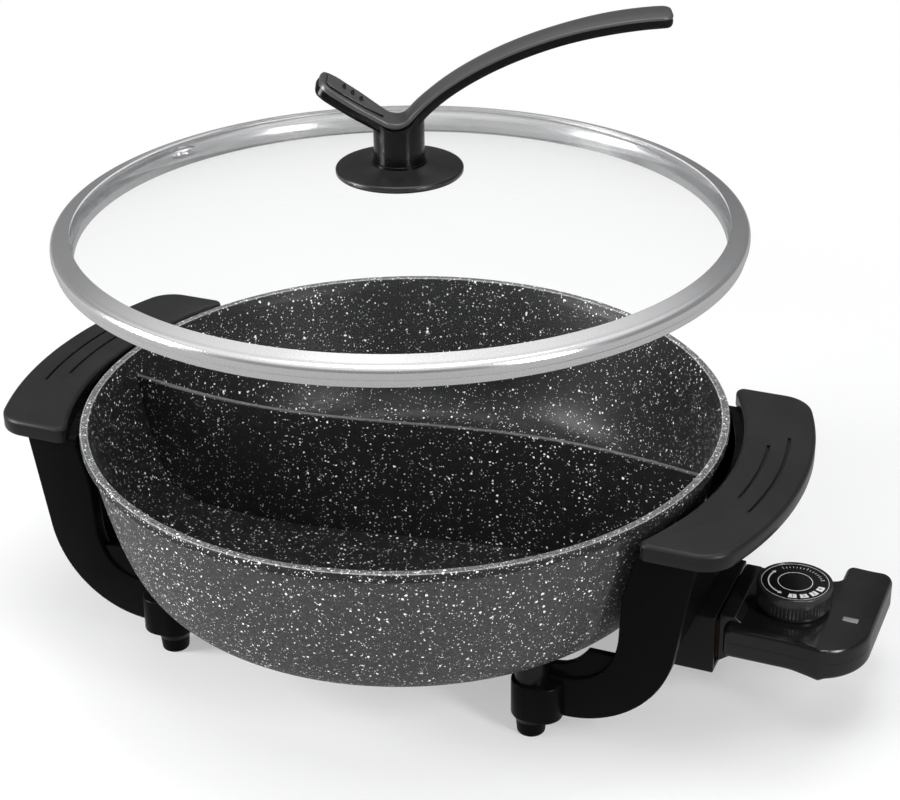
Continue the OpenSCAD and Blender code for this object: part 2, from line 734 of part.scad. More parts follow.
module cord_bush()
    color("black") at_inlet() difference() {
        union() {
            translate([0, 0, -0.8]) cylinder(d = inlet_d + 5, h = 0.8);
            cylinder(d = inlet_d + 3, h = 8);
            translate([0, 0, 4]) cylinder(d = inlet_d + 6, h = 2);
        }
        translate([0, 0, -1]) cylinder(d = inlet_d, h = 10);
    }

module plug_insert()
    color("saddlebrown") difference() {
        plug_shape();
        translate([nose_x - 20, 0, heater_z]) rotate([0, 90, 0]) cylinder(d = rod_d, h = 40);
        for (s = [-1, 1]) translate([nose_x - 20, s * pin_y, heater_z]) rotate([0, 90, 0])
            cylinder(d = pin_d + 2.4, h = 40);
    }

module contact_sleeves()
    color("goldenrod") for (s = [-1, 1]) translate([nose_x - 14, s * pin_y, heater_z]) rotate([0, 90, 0])
        difference() {
            cylinder(d = pin_d + 2.4, h = 19);
            translate([0, 0, -1]) cylinder(d = pin_d + 2 * rod_gap, h = 15);
        }

module sensing_rod() {
    tip_x = plate_x - well_len + 8;
    color("silver") translate([tip_x, 0, heater_z]) rotate([0, 90, 0]) {
        sphere(d = rod_d, $fn = 48);
        cylinder(d = rod_d, h = nose_x + 10 - tip_x);
    }
}

module switch_block()
    color("saddlebrown") difference() {
        translate([dial_x - 14, -9, body_z0 + shell_t]) cube([22, 18, 6]);
        translate([dial_x, 0, body_z0]) cylinder(d = stub_d + 2 * shaft_play, h = 20);
    }

module switch_leaves()
    color("goldenrod") translate([dial_x - 12, -3, body_z0 + shell_t + 6]) {
        cube([5, 6, 2]);
        translate([0, 0, 2]) cube([9, 6, 0.5]);
    }

module pilot_lamp() {
    lamp_d = 3.6;
    color("orange") translate([tail_x - 12, -1, body_z0 + shell_t]) {
        cylinder(d = lamp_d, h = 6);
        translate([0, 0, 6]) sphere(d = lamp_d, $fn = 48);
    }
}

module cover_screws()
    color("silver") cover_screw_places() translate([0, 0, body_z0 + shell_t + 0.2 - 0.55 * shell_screw_d])
        pan_screw(shell_screw_d, body_z1 - body_z0 - shell_t - 4);

// ---- dial ----
module dial_knob() {
    ribs = 48;
    rib_depth = 0.6;
    foot = 2;
    lip = 3;
    color("black") translate([dial_x, 0, 0]) difference() {
        union() {
            translate([0, 0, dial_z0]) cylinder(r = dial_r - 1.6, h = foot);
            translate([0, 0, dial_z0 + foot]) linear_extrude(dial_h - foot - lip) polygon(
                [for (i = [0:2 * ribs - 1]) let (a = 180 * i / ribs, r = dial_r - (i % 2) * rib_depth)
                    [r * cos(a), r * sin(a)]]);
            translate([0, 0, dial_z1 - lip]) cylinder(r = dial_r, h = lip - 1);
            translate([0, 0, dial_z1 - 1]) cylinder(r1 = dial_r, r2 = dial_r - 0.8, h = 1);
        }
        translate([0, 0, dial_z1 - 0.6]) cylinder(r = dial_r - 1.8, h = 1);
        translate([0, 0, dial_z0 - 1]) cylinder(d = shaft_d, h = 8);
    }
}

module dial_face()
    color("dimgray") translate([dial_x, 0, dial_z1 - 0.6]) cylinder(r = dial_r - 1.8, h = 0.4);

module dial_shaft()
    color("silver") translate([dial_x, 0, 0]) {
        translate([0, 0, body_z0 + shell_t + 1]) cylinder(d = stub_d, h = 8);
        translate([0, 0, body_z0 + shell_t + 8.5])
            cylinder(d = shaft_d, h = dial_z0 + 7 - body_z0 - shell_t - 8.5);
    }

// ---- lid ----
// height of the glass's top face at a distance from the axis, moved square to it by an offset
function dome_z(x, offset = 0) = crown_z - dome_r + sqrt(pow(dome_r + offset, 2) - x * x);

function dome_line(x0, x1, offset = 0, n = 16) =
    [for (i = [0:n]) let (x = x0 + (x1 - x0) * i / n) [x, dome_z(x, offset)]];

skin_gap = 0.05;
hole_r = 4;

module lid_glass()
    color("lightcyan", 0.35) difference() {
        rotate_extrude($fn = 180) polygon(concat(
            dome_line(hole_r, glass_r), dome_line(glass_r, hole_r, -glass_t)));
        at_vent() cylinder(r = vent_d / 2 + 1, h = 40, center = true);
    }

// the vent's place on the dome, with Z square to the glass and 0 on its top face
module at_vent() {
    slope = asin(vent_x / dome_r);
    rotate([0, 0, 167]) translate([0, 0, crown_z - dome_r]) rotate([0, slope, 0])
        translate([0, 0, dome_r]) children();
}

// a rolled steel strip: a lip on the glass, a shelf under it, a flange on the rim and a skirt inside it
module lid_band() {
    lip_r = glass_r - 6.5;
    shelf_r = glass_r - 4;
    skirt_r = rim_in_r - 0.9;
    groove_r = glass_r + 0.1;
    shoulder = 3.5;
    wall_r = lid_r - 1.2;
    color("silver") rotate_extrude($fn = 180) polygon(concat(
        dome_line(lip_r, glass_r - 0.5, skin_gap + band_t, 3),
        arc(lid_r - shoulder, band_z1 - shoulder, shoulder, 75, 0, 5),
        arc(lid_r - 1.5, band_z0 + 5, 1.5, 0, -60, 3),
        [[wall_r, band_z0 + 3.2], [wall_r, band_z0 + 1.5], [wall_r - 0.8, band_z0]],
        [[skirt_r, band_z0], [skirt_r, band_z0 - skirt_h], [skirt_r - band_t, band_z0 - skirt_h]],
        [[skirt_r - band_t, band_z0 + band_t], [wall_r - band_t, band_z0 + band_t]],
        [[wall_r - band_t, band_z0 + 2.6]],
        dome_line(glass_r, shelf_r, -glass_t - skin_gap - band_t, 2),
        dome_line(shelf_r, groove_r, -glass_t - skin_gap, 2),
        dome_line(groove_r, lip_r, skin_gap, 3)));
}

module steam_vent()
    color("silver") at_vent() difference() {
        union() {
            cylinder(r = vent_d / 2 + 3.5, h = 0.8);
            translate([0, 0, -glass_t - 0.8]) cylinder(r = vent_d / 2 + 0.8, h = glass_t + 1.2);
            translate([0, 0, -glass_t - 1]) cylinder(r = vent_d / 2 + 3, h = 0.8);
        }
        cylinder(r = vent_d / 2, h = 40, center = true);
    }

// ---- lid handle ----
module handle_axis() rotate([0, 0, handle_turn]) children();

disc_top = crown_z + 4.2;

module lid_disc()
    color("black") rotate_extrude() polygon(concat(
        dome_line(2.6, disc_r - 0.6, skin_gap, 4),
        [[disc_r, dome_z(disc_r) + 1], [disc_r, crown_z + 1.4], [disc_r - 0.4, crown_z + 2],
         [disc_r - 1.2, crown_z + 2.4], [disc_r - 8, crown_z + 3], [stem_r + 2, disc_top - 0.5],
         [stem_r + 1.2, disc_top], [2.6, disc_top]]));

// the handle's top line, seen from the side: short arm, crook and long arm
arm_line = concat(
    [[-short_arm, arm_z + 0.68 * (short_arm - 4)]],
    bezier([-5.5, arm_z + 1.2], [-2.5, arm_z - 0.6], [1.5, arm_z - 0.4], [4, arm_z + 2.2], 4),
    [for (i = [1:12]) bezier([4, arm_z + 2.2], [long_arm * 0.171, arm_z + long_rise * 0.51],
        [long_arm * 0.58, arm_z + long_rise * 0.98], [long_arm, arm_z + long_rise], 12)[i]]);

// the same line moved square to itself by a depth
function lowered(line, depth) = [for (i = [0:len(line) - 1]) let (
        a = line[max(i - 1, 0)], b = line[min(i + 1, len(line) - 1)], d = b - a, n = d / norm(d))
    [line[i][0] + n[1] * depth, line[i][1] - n[0] * depth]];

module arm_layer(d0, d1)
    slab_y(-30, 30) polygon(concat(lowered(arm_line, d0), reversed(lowered(arm_line, d1))));

// the handle from above: broad at the short end, narrow at the waist, rounded tips
module arm_plan(inset) {
    corner = 6;
    tip = 4;
    broad = short_w / 2 - inset;
    half = tip_w / 2 - inset;
    waist = waist_w / 2 - inset;
    end = -short_arm + inset;
    side = concat(
        arc(end + corner, -broad + corner, corner, 180, 270, 5),
        bezier([end + 14, -broad], [-14, -broad], [-8, -waist], [6, -waist], 6),
        bezier([20, -waist], [long_arm * 0.5, -waist],
            [long_arm * 0.6, -half], [long_arm - tip - 2, -half], 6),
        arc(long_arm - inset - tip, -half + tip, tip, -80, 0, 4));
    translate([0, 0, crown_z]) linear_extrude(200) polygon(concat(
        side, [for (p = reversed(side)) [p[0], -p[1]]]));
}

module lid_handle() {
    shell_z = crown_z + 4;
    foot_z = disc_top;
    color("black") handle_axis() difference() {
        union() {
            intersection() {
                arm_layer(cover_t, arm_t);
                arm_plan(0.7);
            }
            intersection() {
                translate([0, 0, foot_z]) cylinder(r = stem_r, h = arm_z - foot_z + 12);
                slab_y(-30, 30) polygon(concat(
                    lowered(arm_line, cover_t + 0.5), [[long_arm, crown_z], [-short_arm, crown_z]]));
            }
            translate([0, 0, foot_z]) cylinder(r = stem_r + 0.9, h = 1.4);
        }
        translate([0, 0, shell_z]) cylinder(d = stem_screw_d, h = 13);
    }
}

module handle_cover()
    color("dimgray") handle_axis() intersection() {
        arm_layer(0, cover_t);
        arm_plan(0);
    }

seal_t = 1.6;
washer_t = 1;

module handle_screw()
    color("silver") translate([0, 0, crown_z - glass_t - seal_t - washer_t - 0.55 * stem_screw_d])
        pan_screw(stem_screw_d, seal_t + washer_t + glass_t + 14.4);

module handle_washer()
    color("silver") translate([0, 0, crown_z - glass_t - seal_t - washer_t]) difference() {
        cylinder(r = 9, h = washer_t);
        translate([0, 0, -1]) cylinder(r = 2.4, h = 3);
    }

module handle_seal()
    color("white") rotate_extrude() polygon(concat(
        dome_line(2.4, 10, -glass_t - skin_gap, 2),
        [[10, crown_z - glass_t - seal_t], [2.4, crown_z - glass_t - seal_t]]));

pot_bowl();
divider();
heating_element();
sensor_well();
terminal_plate();
live_pins();
heat_shield();
shield_screws();
mounting_posts();
leg_frame_left();
leg_frame_right();
grip_left();
grip_right();
grip_screws();
foot_at(-1, -1);  // foot_front_left
foot_at(-1, 1);  // foot_rear_left
foot_at(1, -1);  // foot_front_right
foot_at(1, 1);  // foot_rear_right
frame_screws();
socket_housing();
socket_screws();
thermostat_base();
thermostat_cover();
plug_insert();
contact_sleeves();
sensing_rod();
switch_block();
switch_leaves();
pilot_lamp();
lamp_lens();
cord_bush();
cover_screws();
dial_knob();
dial_face();
dial_shaft();
lid_glass();
lid_band();
steam_vent();
lid_disc();
lid_handle();
handle_cover();
handle_screw();
handle_washer();
handle_seal();
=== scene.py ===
"""Electric hot pot: a stone-coated bowl with an S-shaped divider, a lift-off glass lid and a plug-in
thermostat.

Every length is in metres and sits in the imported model's own frame: Z = 0 is the table under the bowl's
axis and +X runs through the two grips towards the thermostat.
"""
from math import asin, atan2, cos, degrees, dist, hypot, pi, radians, sin, sqrt, tan, tau

import bmesh
import bpy
from mathutils import Matrix, Vector


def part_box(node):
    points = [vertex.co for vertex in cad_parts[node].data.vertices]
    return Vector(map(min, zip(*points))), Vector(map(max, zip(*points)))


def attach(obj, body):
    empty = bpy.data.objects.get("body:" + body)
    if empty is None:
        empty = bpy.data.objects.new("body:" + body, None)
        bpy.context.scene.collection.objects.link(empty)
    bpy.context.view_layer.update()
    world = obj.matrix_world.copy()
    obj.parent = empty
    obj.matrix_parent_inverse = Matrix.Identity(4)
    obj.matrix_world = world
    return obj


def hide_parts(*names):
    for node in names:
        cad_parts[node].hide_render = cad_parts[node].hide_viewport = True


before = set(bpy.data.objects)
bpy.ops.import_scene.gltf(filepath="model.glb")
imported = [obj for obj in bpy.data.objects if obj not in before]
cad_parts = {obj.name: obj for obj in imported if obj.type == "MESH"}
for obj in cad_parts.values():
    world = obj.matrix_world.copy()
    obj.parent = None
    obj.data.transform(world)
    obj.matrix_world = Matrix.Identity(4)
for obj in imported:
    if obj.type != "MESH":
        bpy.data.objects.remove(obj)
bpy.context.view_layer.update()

scene = bpy.context.scene


# ---- Camera ----
# The photograph looks down at the pot's front by about 27 degrees and turned 22.6 degrees to its right.
# The lens and the place were fitted to the rim, the lid's band, the grips and the feet.
camera_data = bpy.data.cameras.new("camera")
camera_data.lens = 80.12
camera_data.sensor_width = 36
camera = bpy.data.objects.new("camera", camera_data)
camera.location = (0.37649, -0.83187, 0.5894)
camera.rotation_euler = [radians(a) for a in (63.01173, 0.66374, 22.5803)]
scene.collection.objects.link(camera)
scene.camera = camera


# ---- Floor, room light and lamps ----
# A pale sweep that keeps the pot's soft shadow and fades to white. It is darker to mirror rays only, as
# black cards would make it. Five broad lamps: a key from the front left, a weaker one from the right,
# and weak ones from the front, from above and from behind.
def new_material(name):
    """An empty material and its nodes."""
    material = bpy.data.materials.new(name)
    material.use_nodes = True
    material.node_tree.nodes.clear()
    return material, material.node_tree.nodes


def add_node(nodes, kind, inputs=None, **settings):
    """A shader node. Each of its inputs takes a value, or the (node, output) pair that feeds it."""
    node = nodes.new(kind if kind.startswith("NodeGroup") else "ShaderNode" + kind)
    for name, setting in settings.items():
        setattr(node, name, setting)
    for name, value in (inputs or {}).items():
        if isinstance(value, tuple) and isinstance(value[0], bpy.types.Node):
            node.id_data.links.new(value[0].outputs[value[1]], node.inputs[name])
        else:
            node.inputs[name].default_value = value
    return node


def maths(nodes, operation, *operands, clamp=False):
    """Arithmetic on two or three operands. It gives the (node, output) pair of the result."""
    return add_node(nodes, "Math", dict(enumerate(operands)), operation=operation, use_clamp=clamp), "Value"


def ranged(nodes, value, low=0, high=1, new_low=0, new_high=1):
    """A value carried over from one range to another."""
    limits = {"From Min": low, "From Max": high, "To Min": new_low, "To Max": new_high}
    return add_node(nodes, "MapRange", {"Value": value, **limits}), "Result"


def mixed(nodes, share, first, second):
    """Two shaders mixed."""
    return add_node(nodes, "MixShader", {"Fac": share, 1: first, 2: second}), "Shader"


def mesh_object(name, mesh_source, materials):
    mesh = bpy.data.meshes.new(name)
    mesh_source.to_mesh(mesh)
    mesh_source.free()
    for material in materials:
        mesh.materials.append(material)
    made = bpy.data.objects.new(name, mesh)
    scene.collection.objects.link(made)
    return made


floor_paint, nodes = new_material("floor_paint")
paper = add_node(nodes, "BsdfPrincipled", {"Base Color": (0.88, 0.88, 0.885, 1), "Roughness": 0.42})
white = add_node(nodes, "Emission")
place = add_node(nodes, "TexCoord")
reach = add_node(nodes, "VectorMath", {0: (place, "Object")}, operation="LENGTH")
fade = ranged(nodes, (reach, "Value"), 0.24, 0.62, 0.37)
lit = mixed(nodes, fade, (paper, "BSDF"), (white, "Emission"))
ray = add_node(nodes, "LightPath")
only_mirrored = maths(nodes, "SUBTRACT", (ray, "Is Glossy Ray"), (ray, "Is Transmission Ray"), clamp=True)
dimmed = add_node(nodes, "Emission", {"Color": (0.38, 0.38, 0.38, 1)})
add_node(nodes, "OutputMaterial", {"Surface": mixed(nodes, only_mirrored, lit, (dimmed, "Emission"))})

sweep = bmesh.new()
bmesh.ops.create_circle(sweep, cap_ends=True, segments=96, radius=6)
floor = mesh_object("floor", sweep, [floor_paint])

world = bpy.data.worlds.new("room")
scene.world = world
world.use_nodes = True
nodes = world.node_tree.nodes
nodes.clear()
ray = add_node(nodes, "LightPath")
way = add_node(nodes, "TexCoord")
parts = add_node(nodes, "SeparateXYZ", {"Vector": (way, "Generated")})
ceiling = ranged(nodes, (parts, "Z"), 0.5, 0.8, 0.04, 0.85)
level = maths(nodes, "LESS_THAN", (parts, "Z"), 0.06)
behind_glass = maths(nodes, "MULTIPLY", level, (ray, "Is Transmission Ray"))
seen = maths(nodes, "MAXIMUM", (ray, "Is Camera Ray"), behind_glass)
bright = maths(nodes, "MULTIPLY_ADD", (ray, "Is Glossy Ray"), ceiling, seen, clamp=True)
dusk = maths(nodes, "MULTIPLY_ADD", (ray, "Is Glossy Ray"), -0.11, 0.18)
room_light = add_node(nodes, "Background", {"Color": (0.96, 0.98, 1, 1), "Strength": dusk})
backdrop = add_node(nodes, "Background", {"Color": (1, 1, 1, 1), "Strength": 1})
through = mixed(nodes, bright, (room_light, "Background"), (backdrop, "Background"))
add_node(nodes, "OutputWorld", {"Surface": through})


def softbox(name, place, aim, width, height, watts):
    lamp = bpy.data.lights.new(name, "AREA")
    lamp.shape = "RECTANGLE"
    lamp.size = width
    lamp.size_y = height
    lamp.energy = watts
    made = bpy.data.objects.new(name, lamp)
    made.location = place
    made.rotation_euler = (Vector(aim) - Vector(place)).to_track_quat("-Z", "Y").to_euler()
    scene.collection.objects.link(made)
    return made


softbox("key_lamp", (-1.2, -0.75, 0.55), (0, 0, 0.08), 0.5, 0.9, 27)
softbox("side_lamp", (1.3, -0.6, 0.7), (0.1, 0, 0.08), 0.3, 0.9, 14)
front_lamp = softbox("front_lamp", (0.4, -1.3, 1.1), (0, 0, 0.1), 0.6, 0.6, 4)
front_lamp.visible_glossy = False
softbox("top_lamp", (0, 0, 1.7), (0, 0, 0), 1.0, 1.0, 10)
back_lamp = softbox("back_lamp", (0.1, 1.3, 1.2), (0, 0, 0.15), 1.4, 0.5, 9)
back_lamp.visible_glossy = False
back_lamp.visible_transmission = False

scene.view_settings.view_transform = "Standard"


# ---- Bowl ----
# Die-cast aluminium, 320 mm across inside its rim, with a thick rolled rim and a rounded foot.
# A grey stone coat outside, a black one inside, both spattered with white before they are baked. The rim's
# top land and its rolled edges are painted lighter, as painted highlights, and its steep sides, the bead
# and the foot's lowest edge are painted darker, as painted shade.
MM = 0.001
RIM_R = 165 * MM
RIM_Z = 122.7 * MM
RIM_H = 5 * MM
RIM_LAND = 4.5 * MM
ROLL = 1.3 * MM
IN_R = RIM_R - RIM_LAND
LOW_EDGE = RIM_Z - RIM_H * 0.62
WALL_TOP_R = 162.4 * MM
WALL_T = 3.2 * MM
BASE_Z = 40.3 * MM
BASE_FLAT_R = 121.7 * MM
FLOOR_T = 4.5 * MM
LEAST_STEP = 0.2 * MM


def arc(cx, cz, r, a0, a1, n):
    return [(cx + r * cos(radians(a0 + (a1 - a0) * i / n)),
             cz + r * sin(radians(a0 + (a1 - a0) * i / n))) for i in range(n + 1)]


def bowl_curve(top_r, flat_r, low_z, steps=48):
    """The wall's curve from the rim down to the edge of the flat floor."""
    top_z = RIM_Z - RIM_H
    curve = []
    for i in range(steps + 1):
        a = radians(90 * i / steps)
        curve.append((flat_r + (top_r - flat_r) * max(cos(a), 0) ** 0.6,
                      low_z + (top_z - low_z) * (1 - sin(a) ** 2.3)))
    return curve


def thin_out(profile, least=LEAST_STEP):
    """Drops the points of a profile that crowd closer than the least distance."""
    kept = [profile[0]]
    for point in profile[1:]:
        if dist(point, kept[-1]) >= least:
            kept.append(point)
    return kept


def shift(solid, x=0.0, y=0.0, z=0.0):
    bmesh.ops.translate(solid, verts=solid.verts, vec=(x, y, z))
    return solid


def lathe(profile, steps, axis=(0, 0)):
    """Spins a profile of (distance, height) points a full turn round a vertical axis."""
    turned = bmesh.new()
    line = [turned.verts.new((r, 0, z)) for r, z in profile]
    edges = [turned.edges.new(pair) for pair in zip(line, line[1:])]
    bmesh.ops.spin(turned, geom=line + edges, axis=(0, 0, 1), cent=(0, 0, 0), angle=tau,
                   steps=steps, use_merge=True)
    bmesh.ops.remove_doubles(turned, verts=turned.verts, dist=1e-6)
    bmesh.ops.recalc_face_normals(turned, faces=turned.faces)
    return shift(turned, *axis)


def shade(piece, angle=30):
    """Smooth faces, with the edges sharper than the angle kept crisp."""
    for face in piece.data.polygons:
        face.use_smooth = True
    piece.data.set_sharp_from_angle(angle=radians(angle))
    return piece


def new_group(name, inputs, outputs):
    """A node group with its sockets, its nodes, and the node that its inputs come from."""
    group = bpy.data.node_groups.new(name, "ShaderNodeTree")
    for socket, kind, value in inputs:
        made = group.interface.new_socket(name=socket, in_out="INPUT", socket_type="NodeSocket" + kind)
        made.default_value = value
    for socket, kind in outputs:
        group.interface.new_socket(name=socket, in_out="OUTPUT", socket_type="NodeSocket" + kind)
    return group, group.nodes, group.nodes.new("NodeGroupInput")


def noise(nodes, **inputs):
    """Noise in the piece's own space."""
    place = add_node(nodes, "TexCoord")
    return add_node(nodes, "TexNoise", {"Vector": (place, "Object"), **inputs})


def blend(nodes, share, first, second):
    """Two colours mixed."""
    return add_node(nodes, "Mix", {"Factor": share, "A": first, "B": second}, data_type="RGBA"), "Result"


def speck_group():
    """White flecks of ragged shape: one spread of cells, each cell with its own odds and size."""
    inputs = (("Cells", "Float", 300), ("Share", "Float", 0.4), ("Size", "Float", 0.2))
    group, nodes, given = new_group("coating_specks", inputs, [("Mask", "Float")])
    place = add_node(nodes, "TexCoord")
    warp = noise(nodes, Scale=900, Detail=1)
    bend = add_node(nodes, "VectorMath", {0: (warp, "Color"), 1: (0.0014,) * 3, 2: (place, "Object")},
                    operation="MULTIPLY_ADD")
    cells = add_node(nodes, "TexVoronoi", {"Vector": (bend, "Vector"), "Scale": (given, "Cells")})
    split = add_node(nodes, "SeparateColor", {"Color": (cells, "Color")})
    chosen = maths(nodes, "LESS_THAN", (split, "Red"), (given, "Share"))
    girth = maths(nodes, "MULTIPLY", (split, "Green"), (given, "Size"))
    inner = maths(nodes, "MULTIPLY", girth, 0.78)
    edge = ranged(nodes, (cells, "Distance"), inner, girth, 1, 0)
    add_node(nodes, "NodeGroupOutput", {"Mask": maths(nodes, "MULTIPLY", edge, chosen)})
    return group


specks = speck_group()
# how many cells to the metre, the share of them with a fleck, a fleck's size in its cell, how white it is
SPECK_LAYERS = ((1050, 0.40, 0.42, 0.8), (520, 0.30, 0.38, 1), (260, 0.12, 0.23, 1), (120, 0.05, 0.11, 1))


def stone_coat(name, dark, light, fleck, amount, roughness, grain, fleck_size=1.0):
    """A baked stone coat: two greys mottled together, and white spatter from dust to large flecks."""
    material, nodes = new_material(name)
    mottle = noise(nodes, Scale=700, Detail=4, Roughness=0.65)
    cloud = noise(nodes, Scale=60, Detail=3)
    patches = ranged(nodes, (cloud, "Fac"), 0.42, 0.62, 0.9, 1.4)
    ramp = add_node(nodes, "ValToRGB", {"Fac": (mottle, "Fac")})
    for stop, position, colour in zip(ramp.color_ramp.elements, (0.34, 0.66), (dark, light)):
        stop.position = position
        stop.color = (*colour, 1)
    total = None
    for cells, share, size, weight in SPECK_LAYERS:
        given = {"Cells": cells, "Share": share * amount, "Size": size * fleck_size}
        flecks = add_node(nodes, "Group", given, node_tree=specks)
        faint = maths(nodes, "MULTIPLY", (flecks, "Mask"), weight)
        total = maths(nodes, "MAXIMUM", total, faint) if total else faint
    paint = blend(nodes, maths(nodes, "MULTIPLY", total, patches), (ramp, "Color"), (*fleck, 1))
    height = maths(nodes, "MULTIPLY_ADD", total, 0.35, (mottle, "Fac"))
    relief = add_node(nodes, "Bump", {"Strength": grain, "Distance": 0.0002, "Height": height})
    sheen = ranged(nodes, (cloud, "Fac"), 0, 1, roughness - 0.05, roughness + 0.09)
    coat = add_node(nodes, "BsdfPrincipled", {
        "Base Color": paint, "Roughness": sheen, "Specular IOR Level": 0.3, "Normal": (relief, "Normal")})
    add_node(nodes, "OutputMaterial", {"Surface": (coat, "BSDF")})
    return material


OFF_WHITE = (0.95, 0.95, 0.94)
grey_stone = stone_coat("grey_stone", (0.032, 0.032, 0.033), (0.066, 0.066, 0.068), (0.97, 0.97, 0.96),
                        0.95, 0.42, 0.3)
black_stone = stone_coat("black_stone", (0.004, 0.004, 0.0045), (0.012, 0.012, 0.013), OFF_WHITE,
                         0.8, 0.36, 0.2, 0.96)
# The rim's top land and rolled edges are painted lighter as painted highlights; the bead and the foot's
# edge are painted darker as painted shade.
rim_top_highlight_stone = stone_coat("rim_top_highlight_stone", (0.025, 0.025, 0.026), (0.18, 0.18, 0.185), OFF_WHITE, 1.8, 0.36, 0.4)
rim_edge_highlight_stone = stone_coat("rim_edge_highlight_stone", (0.16, 0.16, 0.162), (0.42, 0.42, 0.425), OFF_WHITE, 1.5, 0.34, 0.3)
rim_and_foot_shade_stone = stone_coat("rim_and_foot_shade_stone", (0.010, 0.010, 0.0105), (0.026, 0.026, 0.027), OFF_WHITE,
                        1.4, 0.42, 0.3)

outer_wall = bowl_curve(WALL_TOP_R, BASE_FLAT_R, BASE_Z)
inner_wall = bowl_curve(WALL_TOP_R - WALL_T, BASE_FLAT_R, BASE_Z + FLOOR_T)
rim = arc(RIM_R - ROLL, RIM_Z - RIM_H + ROLL, ROLL, -88, 0, 6)
rim += arc(RIM_R - ROLL, RIM_Z - ROLL, ROLL, 4, 90, 8) + arc(IN_R + ROLL, RIM_Z - ROLL, ROLL, 90, 176, 8)
bowl_mesh = lathe(thin_out([(0, BASE_Z)] + outer_wall[::-1]) + rim
                  + thin_out(inner_wall + [(0, BASE_Z + FLOOR_T)]), 256)
for face in bowl_mesh.faces:
    x, y, z = face.calc_center_median()
    distance = hypot(x, y)
    facing_in = distance < IN_R and z > BASE_Z + FLOOR_T and face.normal.x * x + face.normal.y * y < 0
    # The bead's side and the foot's lowest edge are painted darker, as painted shade.
    bead_side_shade = RIM_Z - RIM_H - 0.1 * MM < z < LOW_EDGE and distance > RIM_R - 1.5 * MM
    foot_edge_shade = z < BASE_Z + 0.7 * MM and distance > BASE_FLAT_R - MM
    # The rim's flat top and sloping roll are painted lighter as painted highlights, and its steep faces
    # darker as painted shade.
    if z > LOW_EDGE and distance > IN_R + 0.1 * MM:
        face.material_index = 2 if face.normal.z > 0.9 else (3 if face.normal.z > 0.7 else 4)
    elif bead_side_shade or foot_edge_shade:
        face.material_index = 4
    elif face.normal.z > 0.02 or facing_in:
        face.material_index = 1
bowl = shade(mesh_object("bowl", bowl_mesh, [grey_stone, black_stone, rim_top_highlight_stone, rim_edge_highlight_stone, rim_and_foot_shade_stone]), 50)
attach(bowl, "pot")
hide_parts("pot_bowl")


# ---- Divider ----
# A cast wall in one gentle S from rim to rim, welded to the floor and coated with it.
# A pale line along its rounded top edge is a painted highlight.
DIVIDER_T = 3 * MM
DIVIDER_TOP = RIM_Z - 10.7 * MM
DIVIDER_ROUND = 1.1 * MM
SWING = 10.5 * MM
SPAN = 96


def bare_edge_coat():
    """The black coat with a painted highlight, a pale line along its top edge, by height in the piece."""
    material = black_stone.copy()
    material.name = "divider_coat"
    nodes = material.node_tree.nodes
    coat = next(n for n in nodes if n.type == "BSDF_PRINCIPLED")
    paint = coat.inputs["Base Color"].links[0].from_node
    place = add_node(nodes, "TexCoord")
    split = add_node(nodes, "SeparateXYZ", {"Vector": (place, "Object")})
    ragged = maths(nodes, "MULTIPLY_ADD", (noise(nodes, Scale=420), "Fac"), 0.0009, (split, "Z"))
    # A ragged pale band along the top edge, painted as a highlight.
    highlight_band = ranged(nodes, ragged, DIVIDER_TOP + 0.05 * MM, DIVIDER_TOP + 0.4 * MM)
    pale, result = blend(nodes, highlight_band, (paint, "Result"), (0.075, 0.075, 0.074, 1))
    material.node_tree.links.new(pale.outputs[result], coat.inputs["Base Color"])
    return material


def radius_at(curve, z):
    """How far from the axis a wall's curve stands at a height."""
    for (r0, z0), (r1, z1) in zip(curve, curve[1:]):
        if z1 <= z <= z0:
            return r1 + (r0 - r1) * (z - z1) / max(z0 - z1, 1e-9)
    return curve[0][0]


def loft(rings):
    """A closed skin over a row of rings, all with the same number of points."""
    skin = bmesh.new()
    loops = []
    for ring in rings:
        corners = [skin.verts.new(point) for point in ring]
        loops.append([skin.edges.new(pair) for pair in zip(corners, corners[1:] + corners[:1])])
    for a, b in zip(loops, loops[1:]):
        bmesh.ops.bridge_loops(skin, edges=a + b)
    for end in (loops[0], loops[-1]):
        bmesh.ops.contextual_create(skin, geom=end)
    bmesh.ops.recalc_face_normals(skin, faces=skin.faces)
    return skin


half = DIVIDER_T / 2
foot_z = BASE_Z + FLOOR_T
shoulder_z = DIVIDER_TOP - DIVIDER_ROUND
section = [(-half, foot_z + (shoulder_z - foot_z) * k / 10) for k in range(11)]
section += arc(-half + DIVIDER_ROUND, shoulder_z, DIVIDER_ROUND, 165, 90, 4)
section += arc(half - DIVIDER_ROUND, shoulder_z, DIVIDER_ROUND, 90, 15, 4)
section += [(half, z) for offset, z in reversed(section[:11])]
rings = []
for i in range(SPAN + 1):
    share = -1 + 2 * i / SPAN
    ring = []
    for offset, z in section:
        x = share * (radius_at(inner_wall, z) + 0.2 * MM)
        y = SWING * sin(pi * x / RIM_R)
        slope = SWING * pi / RIM_R * cos(pi * x / RIM_R)
        across = 1 / sqrt(1 + slope * slope)
        ring.append((x - offset * slope * across, y + offset * across, z))
    rings.append(ring)
divider = shade(mesh_object("divider_wall", loft(rings), [bare_edge_coat()]), 40)
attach(divider, "pot")
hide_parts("divider")


# ---- Mounting posts ----
# Four round posts cast with the bowl's foot, which the leg frames are screwed up against.
# Their coat is nearly black, and only one of them shows.
FOOT_X = 99.2 * MM
FOOT_Y = 79.4 * MM
BOSS_TOP = 31 * MM
POST_R = 8.25 * MM
POST_Z0 = BOSS_TOP - 0.5 * MM
POST_Z1 = 43 * MM
FEET = {"front_left": (-1, -1), "rear_left": (-1, 1), "front_right": (1, -1), "rear_right": (1, 1)}


